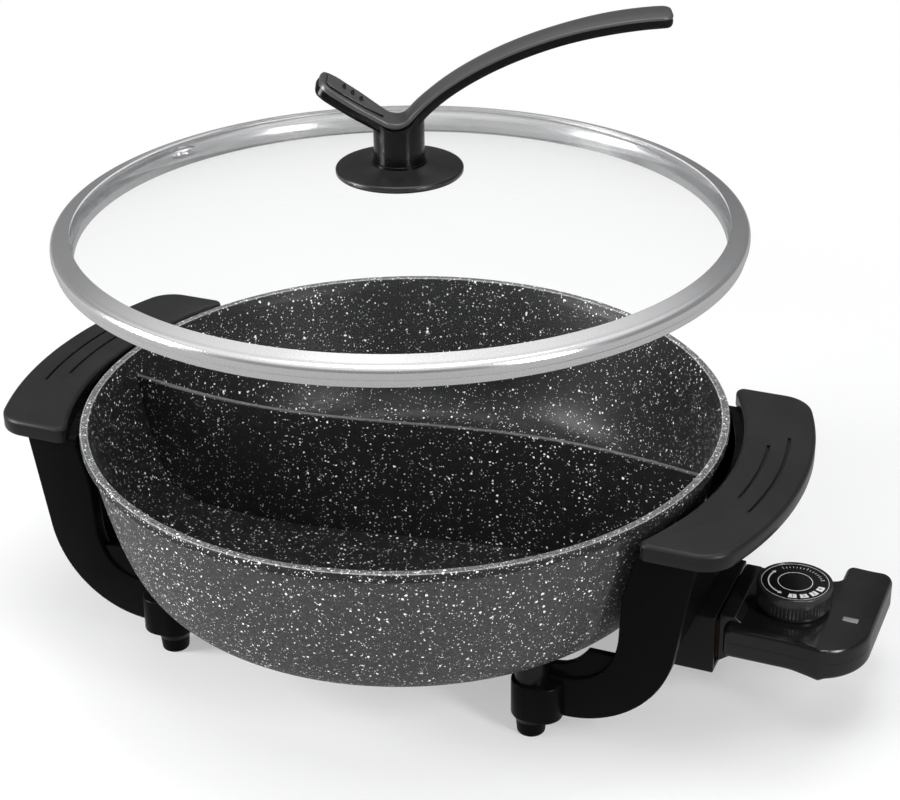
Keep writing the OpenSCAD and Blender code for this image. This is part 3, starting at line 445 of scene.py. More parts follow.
def block_outline(u0, u1, v0, v1):
    return [(u0, v0), (u1, v0), (u1, v1), (u0, v1)]


def gather(name, sources, materials, angle=30):
    """One piece from several closed shapes."""
    whole = bmesh.new()
    for source in sources:
        loose = bpy.data.meshes.new("loose")
        source.to_mesh(loose)
        source.free()
        whole.from_mesh(loose)
        bpy.data.meshes.remove(loose)
    return shade(mesh_object(name, whole, materials), angle)


def handling_group():
    """Moulded or cast surface seen close: a fine grain, faint cloudy gloss and a little settled dust."""
    inputs = (("Colour", "Color", (0.02, 0.02, 0.02, 1)), ("Gloss", "Float", 0.4), ("Grain", "Float", 900),
              ("Clouds", "Float", 0.08), ("Dust", "Float", 0.2))
    outputs = (("Colour", "Color"), ("Roughness", "Float"), ("Height", "Float"))
    group, nodes, given = new_group("handled_surface", inputs, outputs)
    grain = noise(nodes, Scale=(given, "Grain"), Detail=2)
    cloud = noise(nodes, Scale=38, Detail=5, Distortion=0.6)
    centred = maths(nodes, "SUBTRACT", (cloud, "Fac"), 0.5)
    gloss = maths(nodes, "MULTIPLY_ADD", centred, (given, "Clouds"), (given, "Gloss"))
    facing = add_node(nodes, "NewGeometry")
    split = add_node(nodes, "SeparateXYZ", {"Vector": (facing, "Normal")})
    upward = ranged(nodes, (split, "Z"), 0.2)
    patchy = ranged(nodes, (cloud, "Fac"), 0.4, 0.75)
    settled = maths(nodes, "MULTIPLY", upward, patchy)
    dusty = maths(nodes, "MULTIPLY", settled, (given, "Dust"))
    tint = blend(nodes, dusty, (given, "Colour"), (0.10, 0.10, 0.105, 1))
    add_node(nodes, "NodeGroupOutput", {"Colour": tint, "Roughness": gloss, "Height": (grain, "Fac")})
    return group


handled = handling_group()


def solid_finish(name, colour, roughness, grain=900, depth=0.00004, clouds=0.10, dust=0.2, metallic=0.0,
                 specular=0.5):
    """A plastic, rubber, ceramic or metal surface with its own grain, gloss and dust."""
    material, nodes = new_material(name)
    given = {"Colour": (*colour, 1), "Gloss": roughness, "Grain": grain, "Clouds": clouds, "Dust": dust}
    surface = add_node(nodes, "Group", given, node_tree=handled)
    relief = add_node(nodes, "Bump", {"Strength": 0.5, "Distance": depth, "Height": (surface, "Height")})
    body = add_node(nodes, "BsdfPrincipled", {
        "Base Color": (surface, "Colour"), "Roughness": (surface, "Roughness"), "Metallic": metallic,
        "Normal": (relief, "Normal"), "Specular IOR Level": specular})
    add_node(nodes, "OutputMaterial", {"Surface": (body, "BSDF")})
    return material


cast_grey = solid_finish("cast_boss_grey", (0.0022, 0.0022, 0.0023), 0.3, grain=1400, depth=0.0001,
                         specular=0.4)
post = block_outline(0, POST_R, POST_Z0, POST_Z1)
posts = [lathe(post, 48, (sx * FOOT_X, sy * FOOT_Y)) for sx, sy in FEET.values()]
posts_piece = gather("mounting_posts_cast", posts, [cast_grey])
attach(posts_piece, "pot")
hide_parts("mounting_posts")


# ---- Leg frames ----
# One phenolic-black moulding at each end: two J-shaped legs with a thin web in their crook, the skin
# between them, the bosses over the feet, and the deck under the grip.
LEG_Y = 79 * MM
LEG_T = 8 * MM
LEAN = 9.5
BEND = 55 * MM
BEND_X = 115 * MM
BEND_Z = 66.7 * MM
LEG_W = 27 * MM
LEG_FACE_Y = LEG_Y - LEG_T
FOOT_PART_Z = 33.5 * MM
WEB_Z = 51 * MM
WEB_FOOT_Z = FOOT_PART_Z - 2 * MM
WEB_GAP = 1.2 * MM
BOSS_R = 10 * MM
BOSS_LENGTH = 6 * MM
BOSS_Z = 11 * MM
DECK_X = 188 * MM
DECK_T = 3 * MM
GRIP_Z1 = RIM_Z - 2.2 * MM
GRIP_Z0 = GRIP_Z1 - 8.5 * MM
GUARD_HALF = 29 * MM
GUARD_Z0 = 20 * MM
GUARD_Z1 = 52 * MM
PLATE_X = 146 * MM
PLATE_T = 4 * MM
EAR_T = 7 * MM


def prism(outline, axis, low, high):
    """A closed slab of an outline: (x, z) points run along Y, (x, y) points run along Z."""
    slab = bmesh.new()
    if axis == "Y":
        corners = [slab.verts.new((u, low, v)) for u, v in outline]
        way = Vector((0, high - low, 0))
    else:
        corners = [slab.verts.new((u, v, low)) for u, v in outline]
        way = Vector((0, 0, high - low))
    face = slab.faces.new(corners)
    swept = bmesh.ops.extrude_face_region(slab, geom=[face])
    far_side = [e for e in swept["geom"] if isinstance(e, bmesh.types.BMVert)]
    bmesh.ops.translate(slab, verts=far_side, vec=way)
    bmesh.ops.recalc_face_normals(slab, faces=slab.faces)
    return slab


def soften(solid, width, segments=3, angle=32, chosen=None):
    """Rounds every edge sharper than the angle, or only those that the given test keeps."""
    sharp = [e for e in solid.edges if e.is_manifold and e.calc_face_angle(0) > radians(angle)
             and (chosen is None or chosen(e))]
    bmesh.ops.bevel(solid, geom=sharp, offset=width, offset_type="OFFSET", affect="EDGES",
                    segments=segments, profile=0.5, material=-1, clamp_overlap=True)
    return solid


def curve_points(p0, p1, p2, p3, n):
    """Points along a Bezier curve."""
    points = []
    for i in range(n + 1):
        t = i / n
        s = 1 - t
        points.append(tuple(s ** 3 * a + 3 * s * s * t * b + 3 * s * t * t * c + t ** 3 * d
                            for a, b, c, d in zip(p0, p1, p2, p3)))
    return points


def leg_edge(inset, last=90, steps=30):
    """The leg's outer edge, from the grip down round the bend."""
    r = BEND - inset
    lean = radians(LEAN)
    tan_x = BEND_X + r * cos(lean)
    tan_z = BEND_Z - r * sin(lean)
    top = (tan_x + (GRIP_Z0 - tan_z) * tan(lean), GRIP_Z0)
    return [top] + arc(BEND_X, BEND_Z, r, -LEAN, -last, steps)


def skin_strip(low, high, last=45, last_inside=45):
    """The thin skin between the legs, from one Y to another, down to an angle round the bend."""
    return prism(leg_edge(2 * MM, last) + leg_edge(5 * MM, last_inside)[::-1], "Y", low, high)


def leg_frame(name, socket):
    """A right-hand frame. With the socket, its skin stops above the guard, and lugs hold the guard."""
    inner_x = BEND_X + BEND - LEG_W
    edge = leg_edge(0)
    shapes = []
    plate = edge + [(FOOT_X, BEND_Z - BEND), (FOOT_X, FOOT_PART_Z)]
    plate += curve_points((FOOT_X + 10 * MM, FOOT_PART_Z), (FOOT_X + 28 * MM, FOOT_PART_Z),
                          (inner_x - MM, WEB_Z - 10 * MM), (inner_x - MM, BEND_Z), 20)
    plate += [(inner_x, BEND_Z + 20 * MM), (edge[0][0] - LEG_W - 1.5 * MM, GRIP_Z0)]
    bowl_skin = bowl_curve(WALL_TOP_R + WEB_GAP, BASE_FLAT_R + WEB_GAP, BASE_Z - WEB_GAP)
    web = [(FOOT_X, WEB_FOOT_Z), (FOOT_X, BASE_Z - 1.3 * MM)]
    for k in range(9):
        z = BASE_Z - MM + (WEB_Z - BASE_Z + MM) * k / 8
        web.append((sqrt(radius_at(bowl_skin, z) ** 2 - LEG_FACE_Y ** 2), z))
    web += [(inner_x + 2 * MM, WEB_Z), (inner_x + 2 * MM, WEB_FOOT_Z)]
    for side in (-1, 1):
        y0 = LEG_FACE_Y if side > 0 else -LEG_Y
        foot_y = side * FOOT_Y
        shapes.append(soften(prism(plate, "Y", y0, y0 + LEG_T), 1.1 * MM, 3, 50))
        shapes.append(soften(prism(web, "Y", y0 + 2 * MM, y0 + LEG_T - 2 * MM), 0.4 * MM, 2, 50))
        boss = arc(FOOT_X, foot_y, BOSS_R, 90, 270, 24)
        boss += arc(FOOT_X + BOSS_LENGTH, foot_y, BOSS_R, -90, 90, 24)
        shapes.append(soften(prism(boss, "Z", BOSS_Z, BOSS_TOP), 0.8 * MM, 3, 50))
        collar = [(0, 8 * MM), (7.9 * MM, 8 * MM), (9.8 * MM, BOSS_Z + 0.4 * MM), (0, BOSS_Z + 0.4 * MM)]
        shapes.append(lathe(collar, 48, (FOOT_X, foot_y)))
    reach = LEG_FACE_Y + MM
    beside = GUARD_HALF + 0.3 * MM
    if socket:
        shapes += [skin_strip(-reach, -beside), skin_strip(-beside, beside, 15.5, 16.5),
                   skin_strip(beside, reach)]
    else:
        shapes.append(skin_strip(-reach, reach))
    turn = degrees(asin(LEG_Y / (RIM_R + 3 * MM)))
    deck = arc(0, 0, RIM_R + 3.1 * MM, -turn, turn, 40) + [(DECK_X, LEG_Y), (DECK_X, -LEG_Y)]
    shapes.append(soften(prism(deck, "Z", GRIP_Z0 - DECK_T, GRIP_Z0 - 0.02 * MM), 0.4 * MM, 2, 50))
    if socket:
        lug_z = (GUARD_Z0 + GUARD_Z1) / 2 - 8 * MM
        lug = [(PLATE_X + PLATE_T, lug_z), (PLATE_X + PLATE_T, 50 * MM), (162.5 * MM, 56 * MM),
               (163 * MM, 48 * MM), (PLATE_X + 2 * PLATE_T, lug_z)]
        for y in (beside, -beside - EAR_T):
            shapes.append(soften(prism(lug, "Y", y, y + EAR_T), 0.5 * MM, 2, 40))
    return gather(name, shapes, [frame_black], 40)


def mirrored(piece):
    """Turns a right-hand piece's mesh into the left-hand one."""
    turned = bmesh.new()
    turned.from_mesh(piece.data)
    bmesh.ops.scale(turned, vec=(-1, 1, 1), verts=turned.verts)
    bmesh.ops.reverse_faces(turned, faces=turned.faces)
    turned.to_mesh(piece.data)
    turned.free()


frame_black = solid_finish("frame_black", (0.0028, 0.0028, 0.003), 0.28, grain=1500, depth=0.00003,
                           dust=0.03, specular=0.08)
for name, socket in (("leg_frame_right", True), ("leg_frame_left", False)):
    frame_piece = leg_frame(name + "_moulding", socket)
    if name == "leg_frame_left":
        mirrored(frame_piece)
    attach(frame_piece, "pot")
    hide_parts(name)


# ---- Grips ----
# Broad crescent grips of matte phenolic with a softly rolled top edge, rounded corners, glossier sides that
# are painted darker than the top as painted shade, and two shallow curved grooves that stop a hand from
# slipping.
GRIP_R = 207.5 * MM
GRIP_IN_R = 172 * MM
GRIP_HALF = 85.5 * MM
GRIP_CORNER = 18 * MM
GRIP_IN_CORNER = 4 * MM
GRIP_EDGE = 2.4 * MM
# each groove's radius and half its angle, and their section in millimetres, outwards and upwards
GROOVES = ((194.6 * MM, 11.62), (185 * MM, 8.7))
GROOVE_SECTION = ((-0.55, -1.2), (0.55, -1.2), (0.65, -0.35), (1.0, 0.02), (1.0, 1.5), (-1.0, 1.5),
                  (-1.0, 0.02), (-0.65, -0.35))
SIDE_SLOPE = 0.25


def reopened(mesh):
    """A mesh taken back to a loose shape."""
    shape = bmesh.new()
    shape.from_mesh(mesh)
    bpy.data.meshes.remove(mesh)
    return shape


def carve(solid, cutter):
    """Cuts one closed shape out of another."""
    piece = mesh_object("solid", solid, [])
    tool = mesh_object("cutter", cutter, [])
    cut = piece.modifiers.new("carve", "BOOLEAN")
    cut.operation = "DIFFERENCE"
    cut.solver = "EXACT"
    cut.object = tool
    graph = bpy.context.evaluated_depsgraph_get()
    carved = bpy.data.meshes.new_from_object(piece.evaluated_get(graph))
    bpy.data.objects.remove(piece)
    bpy.data.objects.remove(tool)
    return reopened(carved)


def grip(name):
    centre_y = GRIP_HALF - GRIP_CORNER
    centre_x = sqrt((GRIP_R - GRIP_CORNER) ** 2 - centre_y ** 2)
    turn = degrees(atan2(centre_y, centre_x))
    in_y = GRIP_HALF - GRIP_IN_CORNER
    in_x = sqrt((GRIP_IN_R + GRIP_IN_CORNER) ** 2 - in_y ** 2)
    in_turn = degrees(atan2(in_y, in_x))
    outline = arc(0, 0, GRIP_R, -turn, turn, 60)
    outline += arc(centre_x, centre_y, GRIP_CORNER, turn, 90, 14)[1:]
    outline += arc(in_x, in_y, GRIP_IN_CORNER, 90, 180 + in_turn, 8)
    outline += arc(0, 0, GRIP_IN_R, in_turn, -in_turn, 60)[1:-1]
    outline += arc(in_x, -in_y, GRIP_IN_CORNER, 180 - in_turn, 270, 8)
    outline += arc(centre_x, -centre_y, GRIP_CORNER, -90, -turn, 14)[:-1]
    block = prism(outline, "Z", GRIP_Z0, GRIP_Z1)
    soften(block, GRIP_EDGE, 7, 60, lambda e: all(v.co.z > GRIP_Z1 - 1e-6 for v in e.verts))
    soften(block, 0.6 * MM, 2, 60, lambda e: all(v.co.z < GRIP_Z0 + 1e-6 for v in e.verts))
    grooves = bmesh.new()
    for radius, half_angle in GROOVES:
        start = radians(-half_angle)
        ring = [grooves.verts.new((cos(start) * (radius + u * MM), sin(start) * (radius + u * MM),
                                   GRIP_Z1 + v * MM)) for u, v in GROOVE_SECTION]
        face = grooves.faces.new(ring)
        bmesh.ops.spin(grooves, geom=[face], axis=(0, 0, 1), cent=(0, 0, 0), steps=40, use_merge=False,
                       angle=radians(2 * half_angle))
    # the spin leaves the start face in place, which closes the near end of each groove
    bmesh.ops.recalc_face_normals(grooves, faces=grooves.faces)
    piece = gather(name, [carve(block, grooves)], [grip_matte, grip_shaded_side], 35)
    # Faces turned away from the top take the darker, glossier copy, painted as shade.
    for face in piece.data.polygons:
        face.material_index = 1 if face.normal.z < SIDE_SLOPE else 0
    return piece


grip_matte = solid_finish("grip_matte", (0.013, 0.013, 0.0132), 0.38, grain=2400, depth=0.00005, dust=0.06,
                          specular=0.25)
# The same plastic, glossier and painted darker for the sides, as painted shade.
grip_shaded_side = solid_finish("grip_shaded_side", (0.005, 0.005, 0.0052), 0.2, grain=2000, depth=0.00002, dust=0.03)
for name in ("grip_right", "grip_left"):
    grip_piece = grip(name + "_moulding")
    if name == "grip_left":
        mirrored(grip_piece)
    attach(grip_piece, "pot")
    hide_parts(name)


# ---- Feet ----
# Four turned feet of hard black rubber, each with a screw up its middle, slightly rounded where
# they meet the table.
FOOT_R = 7.5 * MM
FOOT_TOP = 7.98 * MM
FOOT_BORE = 2.3 * MM
SCREW_WELL = 3.4 * MM
SCREW_Z = 6.5 * MM
foot_rubber = solid_finish("foot_rubber", (0.0018, 0.0018, 0.0018), 0.42, grain=1800, depth=0.00008,
                           dust=0.1, specular=0.08)
foot_profile = [(FOOT_BORE, SCREW_Z), (SCREW_WELL, SCREW_Z), (SCREW_WELL, 0.4 * MM), (3.7 * MM, 0)]
foot_profile += arc(FOOT_R - 1.7 * MM, 1.2 * MM, 1.2 * MM, -90, 0, 5)
foot_profile += [(FOOT_R, 7 * MM), (FOOT_R, FOOT_TOP), (FOOT_BORE, FOOT_TOP), (FOOT_BORE, SCREW_Z)]
for corner, (sx, sy) in FEET.items():
    foot = gather("foot_" + corner + "_turned", [lathe(foot_profile, 48, (sx * FOOT_X, sy * FOOT_Y))],
                  [foot_rubber], 40)
    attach(foot, "pot")
    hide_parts("foot_" + corner)


# ---- Socket housing ----
# The open box under the right grip that guards the two live pins and guides the plug in.
# Glossy black moulding with a thin, slightly rounded lip.
GUARD_X = 175.5 * MM
GUARD_T = 2.5 * MM
EAR_Z0 = GUARD_Z0 + 4 * MM
EAR_Z1 = 44 * MM


def on_lip(edge):
    return any(v.co.x > GUARD_X - 1e-5 or abs(v.co.y) > GUARD_HALF - 1e-5 for v in edge.verts)


guard_black = solid_finish("guard_black", (0.0045, 0.0045, 0.0047), 0.24, grain=1300, depth=0.00002,
                           dust=0.04, specular=0.25)
house = prism(block_outline(PLATE_X, GUARD_X, GUARD_Z0, GUARD_Z1), "Y", -GUARD_HALF, GUARD_HALF)
mouth = [f for f in house.faces if f.normal.x > 0.9]
bmesh.ops.inset_region(house, faces=mouth, thickness=GUARD_T, use_even_offset=True)
half_mouth = (GUARD_Z1 - GUARD_Z0) * GUARD_HALF
mouth = [f for f in house.faces if f.normal.x > 0.9 and f.calc_area() > half_mouth]
deep = bmesh.ops.extrude_discrete_faces(house, faces=mouth)
bmesh.ops.translate(house, verts=list({v for f in deep["faces"] for v in f.verts}),
                    vec=(PLATE_X + PLATE_T - GUARD_X, 0, 0))
soften(house, 0.7 * MM, 3, 60, on_lip)
ear = block_outline(PLATE_X, PLATE_X + PLATE_T, EAR_Z0, EAR_Z1)
ears = [soften(prism(ear, "Y", y, y + EAR_T), 0.5 * MM, 2) for y in (GUARD_HALF, -GUARD_HALF - EAR_T)]
guard = gather("socket_guard", [house] + ears, [guard_black], 40)
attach(guard, "pot")
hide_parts("socket_housing")


# ---- Live pins ----
# Two plated pins stand in the ceramic plate at the back of the socket.
# They show only when the thermostat is unplugged.
HEATER_Z = BASE_Z - 4 * MM
PIN_Y = 13 * MM
PIN_R = 2.5 * MM
PIN_FOOT = 0.1 * MM
PIN_LENGTH = 22 * MM


def tilt(solid, angle, axis):
    bmesh.ops.rotate(solid, cent=(0, 0, 0), matrix=Matrix.Rotation(radians(angle), 3, axis),
                     verts=solid.verts)
    return solid


bright_steel = solid_finish("bright_steel", (0.55, 0.55, 0.56), 0.24, grain=700, depth=0.00002, dust=0.0,
                            metallic=1.0)
pin_profile = [(0, PIN_FOOT), (PIN_R, PIN_FOOT), (PIN_R, PIN_LENGTH - 2 * MM)]
pin_profile += arc(PIN_R - MM, PIN_LENGTH - MM, MM, 0, 90, 5) + [(0, PIN_LENGTH)]
pins = [shift(tilt(lathe(pin_profile, 32), 90, "Y"), PLATE_X, side * PIN_Y, HEATER_Z) for side in (-1, 1)]
pins_piece = gather("live_pins_plated", pins, [bright_steel], 40)
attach(pins_piece, "pot")
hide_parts("live_pins")


# ---- Thermostat body ----
# Two screwed black shells that meet at a seam round the middle: a nose that fills the socket, a flat
# body under the dial, and a thumb-hollowed tail swept round to the cord's bush.
BODY_Z0 = 32 * MM
BODY_Z1 = 50 * MM
BODY_HALF = 31 * MM
BODY_EDGE = 3 * MM
TOP_EDGE = 3.8 * MM
TAIL_X = 247.5 * MM
TAIL_W = 24 * MM
TAIL_NEAR = 34 * MM
TAIL_FAR = 48 * MM
NOSE_X = GUARD_X + MM
NOSE_HALF = 25.4 * MM
NOSE_END = NOSE_X + 12.6 * MM
PARTING_Z = (BODY_Z0 + BODY_Z1) / 2
INLET_X = TAIL_X - TAIL_W / 2
FLARE_X = TAIL_X - 38 * MM
SEAM = 0.16 * MM
DISH_R = 60 * MM
DISH_DEPTH = 1.5 * MM


def body_plan(inset):
    """The plan of the shells: a flare to the near corner, the sweep, the tail and the notch."""
    back, near, outer, inner, notch, sweep, flare = (v * MM for v in (4, 1.5, 7, 4, 5, 29, 30))
    flare_turn, turn = 12, 70
    back_x = NOSE_X + 3 * MM
    side_x = TAIL_X - TAIL_W
    sweep_y = (sweep - near) * sin(radians(turn)) + near - TAIL_NEAR
    near_x = TAIL_X - sweep + (sweep - near) * cos(radians(turn))
    plan = arc(back_x + back, back - BODY_HALF, back - inset, 180, 270, 6)
    plan += arc(FLARE_X, -BODY_HALF - flare, flare + inset, 90, 90 - flare_turn, 5)
    plan += arc(near_x, near - TAIL_NEAR, near - inset * 0.3, -90 - flare_turn, -turn, 4)
    plan += arc(TAIL_X - sweep, sweep_y, sweep - inset, 6 - turn, 0, 24)
    plan += arc(TAIL_X - outer, TAIL_FAR - outer, outer - inset, 0, 90, 10)
    plan += arc(side_x + inner, TAIL_FAR - inner, inner - inset, 90, 180, 8)
    plan += arc(side_x - notch, BODY_HALF + notch, notch + inset, 0, -90, 8)
    plan += arc(back_x + back, BODY_HALF - back, back - inset, 90, 180, 6)
    return plan


def stack(layers):
    """A closed skin over a stack of outlines, each at its own height."""
    return loft([[(x, y, z) for x, y in outline] for outline, z in layers])


def rolled_edge(angles, radius, z, way):
    """Layers of the body's plan that draw in round an edge."""
    layers = []
    for a in angles:
        turn = radians(a)
        layers.append((body_plan(radius * (1 - cos(turn))), z + way * radius * (1 - sin(turn))))
    return layers


layers = rolled_edge(range(90, -1, -18), BODY_EDGE, BODY_Z0, 1)
for depth, rise in ((0, -SEAM), (SEAM, -SEAM / 2), (SEAM, SEAM / 2), (0, SEAM)):
    layers.append((body_plan(depth), PARTING_Z + rise))
layers += rolled_edge(range(0, 91, 10), TOP_EDGE, BODY_Z1, -1)
shell_black = solid_finish("shell_black", (0.008, 0.008, 0.0082), 0.2, grain=1700, depth=0.00002, dust=0.04)
dish = bmesh.new()
bmesh.ops.create_cone(dish, cap_ends=True, segments=256, radius1=DISH_R, radius2=DISH_R, depth=140 * MM)
shift(tilt(dish, -90, "X"), TAIL_X - 10 * MM, 10 * MM, BODY_Z1 - DISH_DEPTH + DISH_R)
nose_side = [(NOSE_X, GUARD_Z0 + 5 * MM), (NOSE_X + 6 * MM, BODY_Z0 - 2.5 * MM),
             (NOSE_END, BODY_Z0 + 1.2 * MM), (NOSE_END, BODY_Z1 - 1.2 * MM),
             (NOSE_X + 7.5 * MM, GUARD_Z1 + 0.5 * MM), (NOSE_X, GUARD_Z1 + 0.5 * MM)]
nose = soften(prism(nose_side, "Y", -NOSE_HALF, NOSE_HALF), 0.6 * MM, 3, 20)
thermostat = gather("thermostat_shells_joined", [carve(stack(layers), dish), nose], [shell_black], 28)
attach(thermostat, "thermostat")
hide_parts("thermostat_base", "thermostat_cover")


# ---- Lamp lens ----
# A small smoky window over the pilot lamp, pressed into the tail beside the thumb hollow.
# It is moulded acrylic, proud of the shell by a hair.
lens_smoke = solid_finish("lens_smoke", (0.22, 0.22, 0.225), 0.2, grain=500, depth=0.00006, dust=0.0)
lens_low, lens_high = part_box("lamp_lens")
lens = soften(prism(block_outline(lens_low.x, lens_high.x, lens_low.y, lens_high.y), "Z",
                    lens_low.z, lens_high.z), 0.5 * MM, 3)
lens_piece = gather("lamp_window", [lens], [lens_smoke], 40)
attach(lens_piece, "thermostat")
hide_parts("lamp_lens")


# ---- Cord bush ----
# The short ringed bush in the tail's end, where a mains lead goes in.
# Moulded in softer black plastic than the shells.
INLET_R = 3.5 * MM
BUSH_R = INLET_R + 1.5 * MM
RING_R = INLET_R + 2.5 * MM
BUSH_DEPTH = 8 * MM
bush_profile = [(INLET_R, -BUSH_DEPTH), (INLET_R, 0.4 * MM), (INLET_R + 0.4 * MM, 0.8 * MM),
                (RING_R - 0.4 * MM, 0.8 * MM), (RING_R, 0.4 * MM), (RING_R, 0.02 * MM),
                (BUSH_R, 0.02 * MM), (BUSH_R, -BUSH_DEPTH), (INLET_R, -BUSH_DEPTH)]
bush = shift(tilt(lathe(bush_profile, 48), -90, "X"), INLET_X, TAIL_FAR, PARTING_Z)
bush_piece = gather("cord_bush_ringed", [bush], [foot_rubber], 40)
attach(bush_piece, "thermostat")
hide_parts("cord_bush")


# ---- Sensing rod ----
# The plated rod that reads the bowl's heat. It stands out of the nose and slides into the socket.
# Its end is domed, so that it finds its hole.
rod_low, rod_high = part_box("sensing_rod")
rod_r = (rod_high.z - rod_low.z) / 2
rod_length = rod_high.x - rod_low.x
rod_profile = arc(0, rod_r, rod_r, -90, 0, 8) + [(rod_r, rod_length), (0, rod_length)]
rod = shift(tilt(lathe(rod_profile, 40), 90, "Y"), rod_low.x, 0, (rod_low.z + rod_high.z) / 2)
rod_piece = gather("sensing_rod_plated", [rod], [bright_steel], 40)
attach(rod_piece, "thermostat")
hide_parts("sensing_rod")


# ---- Dial ----
# A glossy knob with a knurled skirt over a recessed foot. Its face carries two thin rings, a two-headed
# turn arrow, a row of ticks and four numbered heat blocks in white print.
DIAL_X = 207 * MM
DIAL_R = 18.6 * MM
DIAL_Z0 = BODY_Z1 + 0.5 * MM
DIAL_Z1 = DIAL_Z0 + 13.2 * MM
DIAL_FOOT_R = DIAL_R - 1.6 * MM
DIAL_FOOT_Z = DIAL_Z0 + 2.2 * MM
RIBS = 60
RIB_DEPTH = 0.5 * MM
RIB_SHAPE = (0, 0.4, 1, 0.4)
FACE_Z = DIAL_Z1 - 0.28 * MM
FACE_R = DIAL_R - 1.85 * MM
INK = 0.04 * MM
INK_FOOT = FACE_Z - 0.01 * MM
TURN_FROM, TURN_TO = 158, 246
LEVELS = ((1, -82), (2, -58), (3, -34), (4, -10))
DIGIT_R = 13.2 * MM
dial_black = solid_finish("dial_black", (0.018, 0.018, 0.0183), 0.24, grain=1200, depth=0.00002, dust=0.05,
                          specular=0.6)
face_black = solid_finish("dial_face_black", (0.006, 0.006, 0.0063), 0.16, grain=1200, depth=0.00001,
                          dust=0.03, specular=0.3)
print_white = solid_finish("dial_print", (0.85, 0.85, 0.84), 0.45, grain=2500, depth=0.00001, dust=0.0)


def dial_outline(depth):
    """The dial's outline, with its ribs cut to a depth."""
    points = []
    for i in range(4 * RIBS):
        a = tau * i / (4 * RIBS)
        r = DIAL_R - RIB_SHAPE[i % 4] * depth
        points.append((r * cos(a), r * sin(a)))
    return points


def shrunk(outline, amount):
    return [(x * (1 - amount / DIAL_R), y * (1 - amount / DIAL_R)) for x, y in outline]


skirt = dial_outline(RIB_DEPTH)
top = dial_outline(0)
knob = lathe([(0, DIAL_Z0), (DIAL_FOOT_R - 0.3 * MM, DIAL_Z0), (DIAL_FOOT_R, DIAL_Z0 + 0.3 * MM),
              (DIAL_FOOT_R, DIAL_FOOT_Z), (0, DIAL_FOOT_Z)], 96)
grip_ring = stack([
    (shrunk(skirt, 0.7 * MM), DIAL_Z0 + 2 * MM), (skirt, DIAL_Z0 + 2.5 * MM), (skirt, DIAL_Z1 - 5.6 * MM),
    (top, DIAL_Z1 - 5.1 * MM), (top, DIAL_Z1 - 0.8 * MM), (shrunk(top, 0.25 * MM), DIAL_Z1 - 0.3 * MM),
    (shrunk(top, 0.8 * MM), DIAL_Z1 - 0.02 * MM), (shrunk(top, 1.5 * MM), DIAL_Z1 - 0.02 * MM),
    (shrunk(top, 1.8 * MM), DIAL_Z1 - 0.5 * MM)])
dial = gather("dial_knob_knurled", [shift(knob, DIAL_X), shift(grip_ring, DIAL_X)], [dial_black], 30)
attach(dial, "dial")
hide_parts("dial_knob")

face_disc = lathe(block_outline(0, FACE_R, DIAL_Z1 - 0.6 * MM, FACE_Z), 96, (DIAL_X, 0))
face_piece = gather("dial_face_disc", [face_disc], [face_black], 40)
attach(face_piece, "dial")
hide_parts("dial_face")


def printed(outline):
    return shift(prism(outline, "Z", INK_FOOT, FACE_Z + INK), DIAL_X)


def printed_block(r0, r1, a0, a1, n=24):
    """A print between two radii, in millimetres, and two angles."""
    return printed(arc(0, 0, r1 * MM, a0, a1, n) + arc(0, 0, r0 * MM, a1, a0, n))


def printed_ring(radius, width):
    outline = block_outline(radius - width / 2, radius + width / 2, INK_FOOT, FACE_Z + INK)
    return lathe(outline + outline[:1], 96, (DIAL_X, 0))


def arrow_head(angle, way, radius=13.05 * MM, size=2.0 * MM):
    a = radians(angle)
    out = Vector((cos(a), sin(a)))
    along = Vector((-sin(a), cos(a))) * way
    middle = out * radius
    return printed([tuple(middle + out * size * 0.55), tuple(middle + along * size),
                    tuple(middle - out * size * 0.55)])


def numeral(level, angle):
    """A figure that lies on its block, its head towards the dial's axis."""
    letter = bpy.data.curves.new("level_" + str(level), "FONT")
    letter.body = str(level)
    letter.size = 3.3 * MM
    letter.align_x = "CENTER"
    letter.align_y = "CENTER"
    shown = bpy.data.objects.new("level_" + str(level), letter)
    scene.collection.objects.link(shown)
    bpy.context.view_layer.update()
    flat = bpy.data.meshes.new_from_object(shown.evaluated_get(bpy.context.evaluated_depsgraph_get()))
    bpy.data.objects.remove(shown)
    spot = radians(angle)
    where = (DIAL_X + DIGIT_R * cos(spot), DIGIT_R * sin(spot), FACE_Z + INK + 0.01 * MM)
    flat.transform(Matrix.Translation(where) @ Matrix.Rotation(spot + pi / 2, 4, "Z"))
    return reopened(flat)


inks = [printed_ring(FACE_R - 0.35 * MM, 0.22 * MM), printed_ring(8.4 * MM, 0.35 * MM),
        printed_block(12.7, 13.4, TURN_FROM, TURN_TO), arrow_head(TURN_FROM, -1), arrow_head(TURN_TO, 1)]
for k in range(15):
    a = 25 + 7.5 * k
    inks.append(printed_block(12.6, 13.8 if k % 7 else 14.6, a - 0.55, a + 0.55, 1))
inks += [printed_block(11.6, 14.9, a - 8.3, a + 8.3, 8) for level, a in LEVELS]
print_piece = gather("dial_print_marks", inks, [print_white], 30)
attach(print_piece, "dial")

digits_piece = gather("dial_level_numbers", [numeral(level, a) for level, a in LEVELS], [face_black], 30)
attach(digits_piece, "dial")


